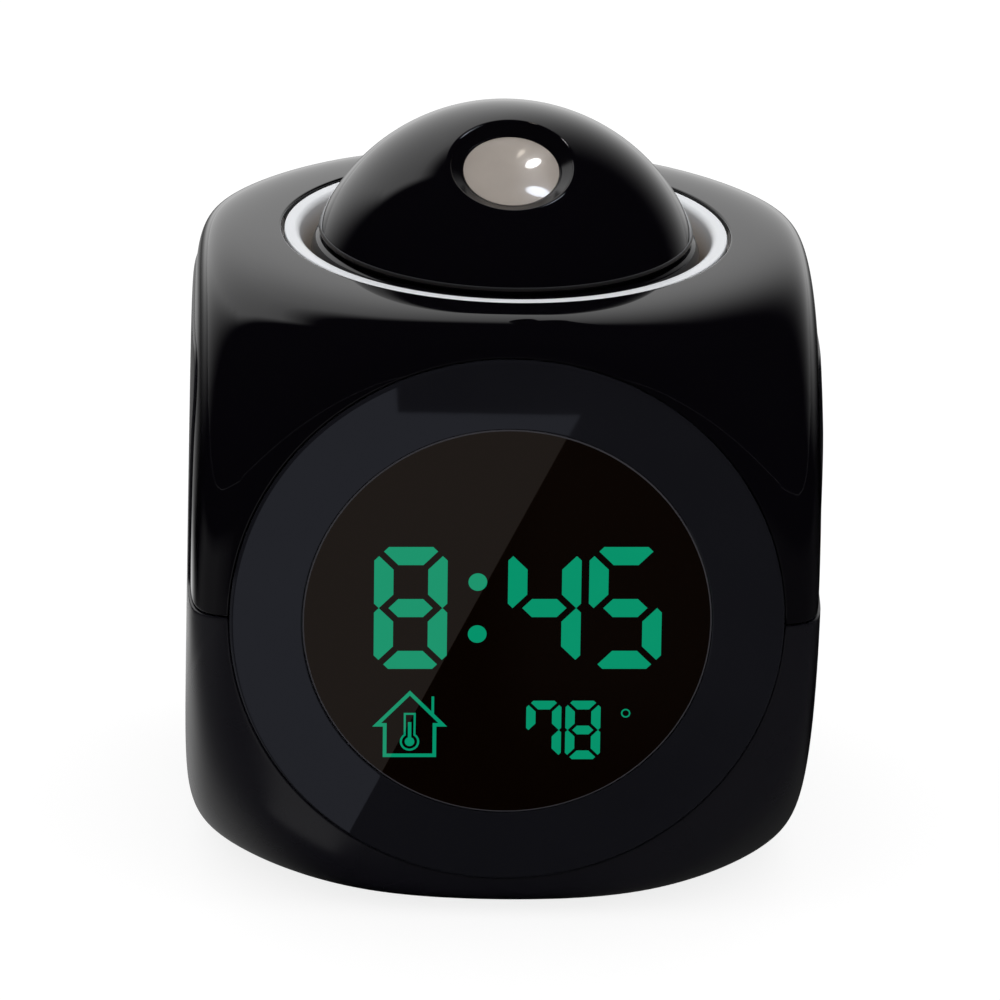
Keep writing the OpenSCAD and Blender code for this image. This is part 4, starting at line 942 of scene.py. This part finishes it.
def digit(shape, x, top, width, height, bar):
    """Outlines of one digit whose top left corner is at x, top."""
    bars = segment_shapes(width, height, bar)
    return [[(x + u, top - v) for u, v in bars[k]] for k in DIGIT_BARS[shape]]


def round_shape(x, z, radius, count=40):
    """Outline of a disc."""
    turn = np.linspace(0, 2 * math.pi, count, endpoint=False)
    return [(x + radius * math.cos(a), z + radius * math.sin(a)) for a in turn]


def stroke(points, width, closed=True):
    """Bands of even width along a line with mitred corners, one four-sided outline a stretch."""
    p = np.array(points, dtype=float)
    ahead = np.roll(p, -1, axis=0) - p
    ahead /= np.linalg.norm(ahead, axis=1, keepdims=True)
    behind = np.roll(ahead, 1, axis=0)
    if not closed:
        behind[0], ahead[-1] = ahead[0], ahead[-2]
    side = np.stack([-(ahead + behind)[:, 1], (ahead + behind)[:, 0]], axis=1)
    side /= np.linalg.norm(side, axis=1, keepdims=True)
    square = np.stack([-ahead[:, 1], ahead[:, 0]], axis=1)
    side *= (width / 2) / (side * square).sum(axis=1, keepdims=True)
    last = len(p) if closed else len(p) - 1
    return [[tuple(q) for q in (p[k] + side[k], p[(k + 1) % len(p)] + side[(k + 1) % len(p)],
                                p[(k + 1) % len(p)] - side[(k + 1) % len(p)], p[k] - side[k])]
            for k in range(last)]


def films(name, outlines, front, thick, lift, tilt):
    """Thin closed prisms from flat outlines on the display, their front faces at y = front."""
    points, quads, tris = [], [], []
    start = 0
    turn = np.array([[math.cos(tilt), math.sin(tilt)], [-math.sin(tilt), math.cos(tilt)]])
    for outline in outlines:
        flat = np.array(outline) @ turn + (0.0, lift)
        area = (flat[:, 0] * np.roll(flat[:, 1], -1) - np.roll(flat[:, 0], -1) * flat[:, 1]).sum()
        flat = flat if area > 0 else flat[::-1]
        n = len(flat)
        middle = flat.mean(axis=0)
        for y in (front, front + thick):
            ring = np.concatenate([flat, middle[None]])
            points.append(np.stack([ring[:, 0], np.full(n + 1, y), ring[:, 1] + DISC_Z], axis=1))
        i = np.arange(n)
        on = (i + 1) % n
        back = start + n + 1
        tris += [np.stack([start + i, start + on, np.full(n, start + n)], axis=1),
                 np.stack([back + on, back + i, np.full(n, back + n)], axis=1)]
        quads.append(np.stack([start + on, start + i, back + i, back + on], axis=1))
        start += 2 * (n + 1)
    made = mesh_object(name, np.concatenate(points), np.concatenate(quads), np.concatenate(tris))
    crease(made, 20)
    return made


def make_signs(sizes):
    """Time, temperature and a house with a thermometer, placed from the window's middle."""
    top, small_top = 10.08, -11.05
    height, width = sizes.digit_height / MM, sizes.digit_width / MM
    low, slim = sizes.small_height / MM, sizes.small_width / MM
    bar, small_bar = height * sizes.bar_share, low * sizes.bar_share
    film = sizes.film / MM
    front = WINDOW_LOW[1] - film * 0.75     # a quarter of each film lies in the window's face
    hours = digit("8", -17.1, top, width, height, bar)
    dots = [round_shape(-3.84, z, 1.2) for z in (5.29, -1.84)]
    minutes = digit("4", 0.03, top, width, height, bar) + digit("5", 10.41, top, width, height, bar)
    heat = digit("7", 2.6, small_top, slim, low, small_bar)
    heat += digit("8", 7.65, small_top, slim, low, small_bar)
    heat += stroke(round_shape(15.4, -12.78, 0.51), 0.18)
    house_x, eave, sole = -12.39, -14.37, -18.6
    roof, wall_x, line = 4.25, 3.2, 0.48
    walls = [(0, -9.98), (roof, eave), (wall_x, eave), (wall_x, sole), (-wall_x, sole), (-wall_x, eave),
             (-roof, eave)]
    home = stroke([(house_x + x, z) for x, z in walls], line)
    home += stroke([(house_x + 2.95, -10.45), (house_x + 2.95, -12.9)], 0.34, closed=False)
    bulb_z, bulb_r, tube = -16.7, 1.12, 0.64
    turn = np.radians(np.linspace(90 - 34, -270 + 34, 30))
    gauge = [(house_x + bulb_r * math.cos(a), bulb_z + bulb_r * math.sin(a)) for a in turn]
    gauge += [(house_x - tube, -12.85), (house_x + tube, -12.85)]
    home += stroke(gauge, 0.26)
    home.append(round_shape(house_x, bulb_z, 0.62))
    home += stroke([(house_x, -14.0), (house_x, bulb_z)], 0.44, closed=False)
    for name, shapes in (("hour_digit", hours), ("colon", dots), ("minute_digits", minutes),
                         ("temperature_digits", heat), ("house_sign", home)):
        piece = films(name, shapes, front, film, sizes.lift / MM, sizes.tilt)
        place(piece, finish("lit"), "housing", "lcd_glass")


class CLOCK_OT_light_ring(bpy.types.Operator):
    """White ring in the top face: a flat rim and a funnel wall."""

    bl_idname = "clock.light_ring"
    bl_label = "Light ring"

    def execute(self, context):
        steps = context.scene.clock_studio.round_steps
        flange, flange_thick, waist, funnel_end = 1, 1.4, 0.6, 25.6
        outer = RING_HIGH[0] - flange
        rim = context.scene.clock_head.rim / MM
        top, low = RING_TOP, RING_LOW[2]
        ledge = TOP_Z - 2.2     # the hood's inner face
        under = ledge - flange_thick
        outline = rounded([(funnel_end, low, 0.1), (outer - waist, low, 0), (outer - waist, under, 0),
                           (outer + flange, under, 0), (outer + flange, ledge, 0), (outer, ledge, 0),
                           (outer, top, 0.2), (outer - rim, top - 0.08, 0.9)], 8)
        piece = turned("light_ring_collar", outline, steps=steps)
        crease(piece)
        place(piece, finish("ring"), "housing", "ring_white", "light_ring")
        return {"FINISHED"}


class CLOCK_OT_dome(bpy.types.Operator):
    """Polished dome with the round lens opening, and the skirt below it."""

    bl_idname = "clock.dome"
    bl_label = "Dome"

    def execute(self, context):
        head = context.scene.clock_head
        steps = context.scene.clock_studio.round_steps
        piece = skinned("dome", dome_grid(head, 320), loop_rows=True)
        crease(piece, 50)
        place(piece, finish("gloss"), "head", "dome_black", "dome_shell")
        top = DOME_LOW[2] - DOME_LIP - 0.1
        floor = RING_HIGH[2] - 19.45
        wide = SKIRT_HIGH[0]
        outline = rounded([(22.4, top, 0.1), (wide + 0.75, top, 0.12), (wide + 1.25, top - 0.25, 0.3),
                           (wide + 1.65, top - 1.15, 1), (wide + 1.8, top - 1.95, 1.5),
                           (wide + 1.7, top - 3.1, 2), (wide + 0.8, top - 4.6, 2),
                           (wide - 0.2, top - 7, 2), (wide - 1.2, floor, 0.5),
                           (5.2, floor, 0), (5.2, floor + 2, 0), (20.6, floor + 2, 0.5)], 4)
        skirt = turned("skirt", outline, steps=steps)
        crease(skirt)
        spigot = turned("swivel_spigot", [(0, SKIRT_LOW[2]), (2, SKIRT_LOW[2]), (4.7, SKIRT_LOW[2]),
                                          (4.95, SKIRT_LOW[2] + 0.3), (4.95, floor), (4.95, floor + 1.9),
                                          (0, floor + 1.9)], steps=64, closed=False)
        crease(spigot)
        place(skirt, finish("gloss"), "head", "dome_black", "dome_skirt")
        place(spigot, finish("gloss"), "head", "dome_black")
        return {"FINISHED"}


def dome_grid(head, cols):
    """Dome wall as a closed band between the lens opening and the lower edge.

    Points lie on a ball, between a cone round the lens axis and a level plane, and both edges roll in.
    """
    roll, lower_roll, lower_start, depth = 0.5, 1.1, 0.45, head.wall / MM
    tilt = head.lens_tilt
    turn = np.linspace(0, 2 * math.pi, cols, endpoint=False)
    cone = math.asin((head.recess / MM + roll) / DOME_R)
    axis = np.array([0, -math.sin(tilt), math.cos(tilt)])
    side = np.array([0, math.cos(tilt), math.sin(tilt)])
    across = np.array([1.0, 0, 0])
    first = (math.cos(cone) * axis + math.sin(cone)
             * (np.cos(turn)[:, None] * across + np.sin(turn)[:, None] * side))
    rise = (DOME_LOW[2] + lower_start - DOME_Z) / DOME_R
    flat = math.sqrt(1 - rise * rise)
    last = np.stack([flat * np.cos(turn), flat * np.sin(turn), np.full(cols, rise)], axis=1)
    outer = swept(first, last, eased(84))
    inner = swept(last, first, np.linspace(0, 1, 16))
    low = rolled(outer[-1] * DOME_R, outer[-3] * DOME_R, outer[-1], lower_roll, depth, 8)
    high = rolled(outer[0] * DOME_R, outer[2] * DOME_R, outer[0], roll, depth)
    low[..., 2] = np.maximum(low[..., 2], DOME_LOW[2] - DOME_LIP - DOME_Z)
    inner = inner[1:-1] * (DOME_R - depth)
    return np.concatenate([outer * DOME_R, low, inner, high[::-1]]) + np.array([0, 0, DOME_Z])


class CLOCK_OT_lens(bpy.types.Operator):
    """Lens seat with its sloping wall, and the convex projector lens."""

    bl_idname = "clock.lens"
    bl_label = "Projector lens"

    def execute(self, context):
        head = context.scene.clock_head
        steps = context.scene.clock_studio.round_steps
        recess, lens, depth = head.recess / MM, head.lens / MM, head.recess_depth / MM
        mouth = math.sqrt(DOME_R ** 2 - recess ** 2)
        front = mouth - depth
        origin = (0, 0, DOME_Z)
        outline = rounded([(lens + 0.08, front - 2.4, 0), (recess + 0.15, front - 2.4, 0),
                           (recess + 0.15, mouth - 0.35, 0), (recess - 0.05, mouth - 0.35, 0.05),
                           (lens + 0.35, front + 0.1, 0.2), (lens + 0.08, front, 0.12)], 5)
        seat = turned("lens_seat", outline, origin, head.lens_tilt, steps)
        crease(seat)
        place(seat, finish("seat"), "head", "black_plastic", "lens_bezel")
        bulge = head.lens_bulge / MM
        bend = (lens ** 2 + bulge ** 2) / (2 * bulge)
        r = np.linspace(0, lens, 24)
        crown = front + bulge - bend + np.sqrt(bend ** 2 - r ** 2)
        outline = [*zip(r, crown), (lens, front - 1.6), (lens - 0.3, front - 1.9), (0, front - 1.9)]
        glass = turned("lens", outline, origin, head.lens_tilt, 96, closed=False)
        crease(glass)
        place(glass, finish("lens"), "head", "lens_glass", "projector_lens")
        return {"FINISHED"}


class CLOCK_OT_back_controls(bpy.types.Operator):
    """Five keys on the back with crowned faces."""

    bl_idname = "clock.back_controls"
    bl_label = "Keys"

    def execute(self, context):
        for k, name in enumerate(BUTTONS):
            low, high = frame_box(name)
            x = (low[0] + high[0]) / 2
            wide, slim = (high[0] - low[0]) / 2, (high[0] - low[0]) / 2 - 1.2
            length_y = high[1] - low[1]
            crown = [(r, 0.22 * (r / slim) ** 2) for r in (0.0, 0.8, 1.5, 2.1, slim - 0.45)]
            edge = [(slim - 0.22, 0.3), (slim - 0.06, 0.45), (slim, 0.65)]
            outline = crown + edge + [(slim, length_y - 1), (wide, length_y - 1), (wide, length_y),
                                      (0, length_y)]
            piece = turned("key_cap_%d" % (k + 1), outline, (x, high[1], BUTTON_Z), math.pi / 2, 72,
                           closed=False)
            crease(piece)
            place(piece, finish("key"), name, "key_black", name)
        return {"FINISHED"}


class CLOCK_OT_underside(bpy.types.Operator):
    """Battery door with its grip ribs and pivot pins, and the four rubber feet."""

    bl_idname = "clock.underside"
    bl_label = "Door and feet"

    def execute(self, context):
        pads = []
        for x, y in FEET_PLACES:
            top = FEET_HIGH[2]
            outline = [(0, 0), (FOOT_R - 0.9, 0), (FOOT_R - 0.4, 0.02), (FOOT_R - 0.12, 0.12),
                       (FOOT_R, 0.35), (FOOT_R, top), (0, top)]
            pads.append(turned("pad", outline, (x, y, 0), 0.0, 64, closed=False))
        feet = joined("foot_pads", pads)
        crease(feet)
        place(feet, finish("rubber"), "housing", "foot_rubber", "feet")
        low_y, high_y = DOOR_LOW[1], DOOR_HIGH[1]
        middle_y = (low_y + high_y) / 2
        door = plug("door", (0, middle_y, 0), "z", DOOR_HALF_X, DOOR_HALF_Y, 0.6,
                    [(FLOOR_Z, -0.3), (FLOOR_Z + 0.08, -0.1), (FLOOR_Z + 0.3, 0.0),
                     (FLOOR_Z + 1.9, 0.0), (FLOOR_Z + 2.0, -0.1)])
        ribs = [plug("grip", (0, low_y + 3.4 + 1.4 * k, 0), "z", 5.0, 0.3, 0.28,
                     [(FLOOR_Z - 1, 0.9), (FLOOR_Z, 0.1), (FLOOR_Z + 0.4, 0.0)]) for k in range(4)]
        cut_away(door, ribs)
        crease(door)
        place(door, finish("satin"), "door", "satin_black", "battery_door")
        pins = []
        for side in (-1, 1):
            pins.append(pin_x(side * (DOOR_HALF_X - 0.5), side * DOOR_HIGH[0], high_y - DOOR_PIN,
                              FLOOR_Z + DOOR_PIN, 0.6))
        pair = joined("door_pins", pins)
        crease(pair)
        place(pair, finish("satin"), "door", "satin_black")
        return {"FINISHED"}


def pin_x(start, end, y, z, radius, cols=32):
    """Round pin along X with a small chamfer at its free end."""
    turn = np.linspace(0, 2 * math.pi, cols, endpoint=False)
    way = math.copysign(0.15, end - start)
    rows = [(start, radius), (end - way, radius), (end, radius - 0.15)]
    grid = np.array([np.stack([np.full(cols, x), y + r * np.cos(turn), z + r * np.sin(turn)], axis=1)
                     for x, r in rows])
    return skinned("pin", grid, loop_rows=False, ends=[(start, y, z), (end, y, z)])


class CLOCK_OT_inner_finish(bpy.types.Operator):
    """Materials for the pieces that stay as the frame has them."""

    bl_idname = "clock.inner_finish"
    bl_label = "Inner pieces"

    def execute(self, context):
        for name, key in NODE_FINISH.items():
            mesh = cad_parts[name].data
            mesh.materials.clear()
            mesh.materials.append(finish(key))
        return {"FINISHED"}


# ---------- studio ----------
def seen_as_white(tree):
    """1 for camera, mirror and see-through rays, which all find the same white surround."""
    path = add_node(tree, "ShaderNodeLightPath")
    both = add_node(tree, "ShaderNodeMath", {0: path.outputs["Is Camera Ray"],
                                             1: path.outputs["Is Glossy Ray"]}, operation="MAXIMUM")
    every = add_node(tree, "ShaderNodeMath", {0: both.outputs[0],
                                              1: path.outputs["Is Transmission Ray"]}, operation="MAXIMUM")
    return every.outputs[0]


def floor_material():
    """Pale paper sweep: white with the object's shadow on it, and plain paper for soft light."""
    material = bpy.data.materials.new("paper_sweep")
    tree = emptied(material)
    paper = add_node(tree, "ShaderNodeBsdfDiffuse", {"Color": (0.62, 0.62, 0.62, 1.0)})
    soft = add_node(tree, "ShaderNodeBsdfDiffuse", {"Color": (0.25, 0.25, 0.25, 1.0)})
    glow = add_node(tree, "ShaderNodeEmission", {"Color": (1, 1, 1, 1), "Strength": 0.82})
    both = add_node(tree, "ShaderNodeAddShader", {0: soft.outputs[0], 1: glow.outputs[0]})
    mix = add_node(tree, "ShaderNodeMixShader", {0: seen_as_white(tree), 1: paper.outputs[0],
                                                 2: both.outputs[0]})
    add_node(tree, "ShaderNodeOutputMaterial", {"Surface": mix.outputs[0]})
    return material


def studio_world(level):
    """White surround; its soft light on the object has a plain level."""
    world = bpy.data.worlds.new("studio")
    bpy.context.scene.world = world
    tree = emptied(world)
    room = add_node(tree, "ShaderNodeBackground", {"Color": (1, 1, 1, 1), "Strength": level})
    white = add_node(tree, "ShaderNodeBackground", {"Color": (1, 1, 1, 1), "Strength": 1.0})
    mix = add_node(tree, "ShaderNodeMixShader", {0: seen_as_white(tree), 1: room.outputs[0],
                                                 2: white.outputs[0]})
    add_node(tree, "ShaderNodeOutputWorld", {"Surface": mix.outputs[0]})


def card_material(name, tone=(1, 1, 1, 1)):
    """Studio card that glows by the level stored at each point of its mesh."""
    material = bpy.data.materials.new(name)
    tree = emptied(material)
    level = add_node(tree, "ShaderNodeAttribute", attribute_name="glow")
    glow = add_node(tree, "ShaderNodeEmission", {"Color": tone, "Strength": level.outputs["Fac"]})
    add_node(tree, "ShaderNodeOutputMaterial", {"Surface": glow.outputs[0]})
    material.cycles.emission_sampling = "NONE"
    return material


def studio_card(name, points, quads, glow, material):
    """Card that only polished faces see: it shapes their mirror image and lights nothing."""
    card = mesh_object(name, points, quads, np.zeros((0, 3), dtype=int))
    card.data.materials.append(material)
    levels = card.data.attributes.new("glow", "FLOAT", "POINT")
    levels.data.foreach_set("value", np.asarray(glow, dtype=np.float32))
    for way in ("camera", "diffuse", "shadow", "transmission", "volume_scatter"):
        setattr(card, "visible_" + way, False)


def smooth(low, high, value):
    """Share from 0 to 1 that eases in and out between two limits."""
    t = np.clip((value - low) / (high - low), 0, 1)
    return t * t * (3 - 2 * t)


ROOM_R = 1600.0             # of the dark room and the table
ROOM_MIDDLE = (0, 0, 60.0)


def canopy_glow(way, rise):
    """Brightness of the room by azimuth from the back (right positive) and elevation, in degrees.

    The white sweep ends at a hard edge on the left, at the ceiling's edge above, and fades to the right.
    """
    left = smooth(-66, -58 + 1.2 * np.maximum(0, 33 - rise), way)
    right = 1 - smooth(13 - rise, 71 - rise / 2, way)
    return left * right * (1 - smooth(46, 57, rise))


def table_glow(way, reach):
    """Brightness of the table by azimuth from the back in degrees and distance in mm.

    Near the object the paper is lit from the back left; further out it lies in the room's shade.
    """
    behind = smooth(-62, -36, way) * (1 - smooth(-8, 4, way))
    side = 0.47 * smooth(-155, -75, way) * (1 - smooth(-62, -36, way))
    front = 0.04 * smooth(75, 95, way) * (1 - smooth(150, 172, way))
    near = (0.95 * behind + side + front) * (1 - smooth(80, 135, reach))
    left = 0.14 * smooth(-160, -130, way) * (1 - smooth(-95, -65, way))
    middle = 0.4 * smooth(-50, -5, way) * (1 - smooth(5, 30, way)) + left
    middle = (middle + 0.03 * smooth(40, 90, way)) * smooth(80, 135, reach) * (1 - smooth(230, 290, reach))
    far = 0.9 * smooth(-58, -8, way) * (1 - smooth(15, 62, way)) * smooth(230, 600, reach)
    return near + middle + far


def add_canopy():
    """Dark room round the white sweep, open where the sweep is brightest."""
    way = np.unique(np.concatenate([np.arange(-180, 180, 3.0), np.arange(-68, -56, 1.0)]))
    rise = np.concatenate([[-2.1], np.arange(0, 52, 4.0), np.arange(52, 60, 1.5), [60, 75, 90]])
    way_grid, rise_grid = np.meshgrid(way, rise)
    a, e = np.radians(way_grid), np.radians(rise_grid)
    points = ROOM_R * np.stack([np.cos(e) * np.sin(a), np.cos(e) * np.cos(a), np.sin(e)], axis=-1)
    glow = canopy_glow(way_grid, rise_grid).ravel()
    quads = grid_faces(len(rise), len(way), False)
    quads = quads[glow[quads].min(axis=1) < 0.97]
    studio_card("room_canopy", points.reshape(-1, 3) + ROOM_MIDDLE, quads, glow, card_material("room"))


def add_table():
    """Shaded table top, and in front of the display a lit sheet with a slanting edge."""
    way = np.arange(-180, 180, 4.0)
    reach = np.array([5, 30, 50, 65, 80, 95, 110, 125, 140, 160, 190, 230, 260, 300, 380, 480, 620, 900,
                      ROOM_R])
    way_grid, reach_grid = np.meshgrid(way, reach)
    a = np.radians(way_grid)
    points = np.stack([reach_grid * np.sin(a), reach_grid * np.cos(a), 0 * a + 0.25], axis=-1)
    glow = table_glow(way_grid, reach_grid).ravel()
    material = card_material("table")
    studio_card("table_top", points.reshape(-1, 3), grid_faces(len(reach), len(way), False), glow, material)
    left, step, slant = -38.0, -9.0, -0.2277
    edge = lambda y: -21.1 + slant * (y + 57.8)
    near, stop, end = -45.0, -233.0, -250.0
    points = np.array([(x, y, 0.35) for x, y in (
        (left, near), (edge(near), near), (edge(stop), stop), (left, stop), (step, stop), (step, end),
        (left, end))])
    quads = np.array([[0, 1, 2, 3], [3, 4, 5, 6]])
    studio_card("front_sheet", points, quads, np.full(len(points), 0.35), material)


def add_glint(name, way, wide, tall, level, tone):
    """Small lamp above the lens in a black tube, so that its mirror image shows in the lens only."""
    lens, lamp, tube_end, tube_share = Vector((0.0, -11.0, 93.0)), 120, 30, 0.62
    axis = Vector(way).normalized()
    across = axis.cross(Vector((0, 0, 1))).normalized()
    up = across.cross(axis)
    angle = np.linspace(0, 2 * math.pi, 24, endpoint=False)
    rows = [(0.02, lamp), (0.75, lamp), (1.0, lamp), (1.02, lamp), (tube_share, tube_end)]
    points = [lens + axis * far + across * (share * wide * math.cos(t)) + up * (share * tall * math.sin(t))
              for share, far in rows for t in angle]
    glow = np.repeat([level, level, level * 0.25, 0.0, 0.0], len(angle))
    studio_card(name, np.array(points), grid_faces(len(rows), len(angle), False), glow,
                card_material(name, tone))


class CLOCK_OT_studio(bpy.types.Operator):
    """Floor, surround, lamps, dark room cards and camera."""

    bl_idname = "clock.studio"
    bl_label = "Studio"

    def execute(self, context):
        scene = context.scene
        scene.view_settings.view_transform = "Standard"
        studio_world(1.0)
        far = 4000.0
        corners = np.array([(-far, -far, 0), (far, -far, 0), (far, far, 0), (-far, far, 0)])
        floor = mesh_object("floor", corners, np.array([[0, 1, 2, 3]]), np.zeros((0, 3), dtype=int))
        floor.data.materials.append(floor_material())
        add_canopy()
        add_table()
        add_glint("window_glint", (0.211, 0.386, 0.898), 5.8, 12.5, 24.0, (1.0, 1.0, 1.0, 1.0))
        add_glint("sky_glint", (0.282, 0.0, 0.959), 9.0, 15.0, 16.0, (0.8, 0.87, 1.0, 1.0))
        add_glint("lamp_glint", (0.114, 0.50, 0.858), 3.0, 10.0, 5.0, (1.0, 0.9, 0.78, 1.0))
        self.add_camera(scene)
        return {"FINISHED"}

    def add_camera(self, scene):
        """Camera from its azimuth, elevation, roll and distance to an aim near the clock's axis."""
        s = scene.clock_studio
        back = Vector((math.sin(s.azimuth) * math.cos(s.elevation),
                       -math.cos(s.azimuth) * math.cos(s.elevation), math.sin(s.elevation)))
        right = (-back).cross(Vector((0, 0, 1))).normalized()
        up = right.cross(-back)
        turned_right = right * math.cos(s.roll) + up * math.sin(s.roll)
        turned_up = up * math.cos(s.roll) - right * math.sin(s.roll)
        data = bpy.data.cameras.new("camera")
        data.lens = s.lens
        data.sensor_width = 36.0
        data.clip_start, data.clip_end = 0.05, 20.0
        camera = bpy.data.objects.new("camera", data)
        pose = Matrix((turned_right, turned_up, back)).transposed().to_4x4()
        pose.translation = Vector((s.aim_side, 0, s.aim)) + back * s.distance
        camera.matrix_world = pose
        scene.collection.objects.link(camera)
        scene.camera = camera


PIECES = (CLOCK_OT_hood, CLOCK_OT_base, CLOCK_OT_display, CLOCK_OT_light_ring, CLOCK_OT_dome,
          CLOCK_OT_lens, CLOCK_OT_back_controls, CLOCK_OT_underside, CLOCK_OT_inner_finish,
          CLOCK_OT_studio)


class CLOCK_PT_panel(bpy.types.Panel):
    """Lists the clock's pieces and their sizes in the sidebar."""

    bl_idname = "CLOCK_PT_panel"
    bl_label = "Projection Alarm Clock"
    bl_space_type = "VIEW_3D"
    bl_region_type = "UI"
    bl_category = "Clock"

    def draw(self, context):
        for piece in PIECES:
            self.layout.operator(piece.bl_idname)
        for key, group in GROUPS.items():
            box = self.layout.box()
            values = getattr(context.scene, key)
            for name in group.__annotations__:
                box.prop(values, name)


def register():
    """Registers the groups, operators and panel."""
    for group in GROUPS.values():
        bpy.utils.register_class(group)
    for key, group in GROUPS.items():
        setattr(bpy.types.Scene, key, PointerProperty(type=group))
    for piece in PIECES:
        bpy.utils.register_class(piece)
    bpy.utils.register_class(CLOCK_PT_panel)


def unregister():
    """Takes everything out again."""
    bpy.utils.unregister_class(CLOCK_PT_panel)
    for piece in reversed(PIECES):
        bpy.utils.unregister_class(piece)
    for key, group in GROUPS.items():
        delattr(bpy.types.Scene, key)
        bpy.utils.unregister_class(group)


def main():
    """Builds every piece and the studio."""
    register()
    for piece in PIECES:
        group, name = piece.bl_idname.split(".")
        getattr(getattr(bpy.ops, group), name)()


if __name__ == "__main__":
    main()
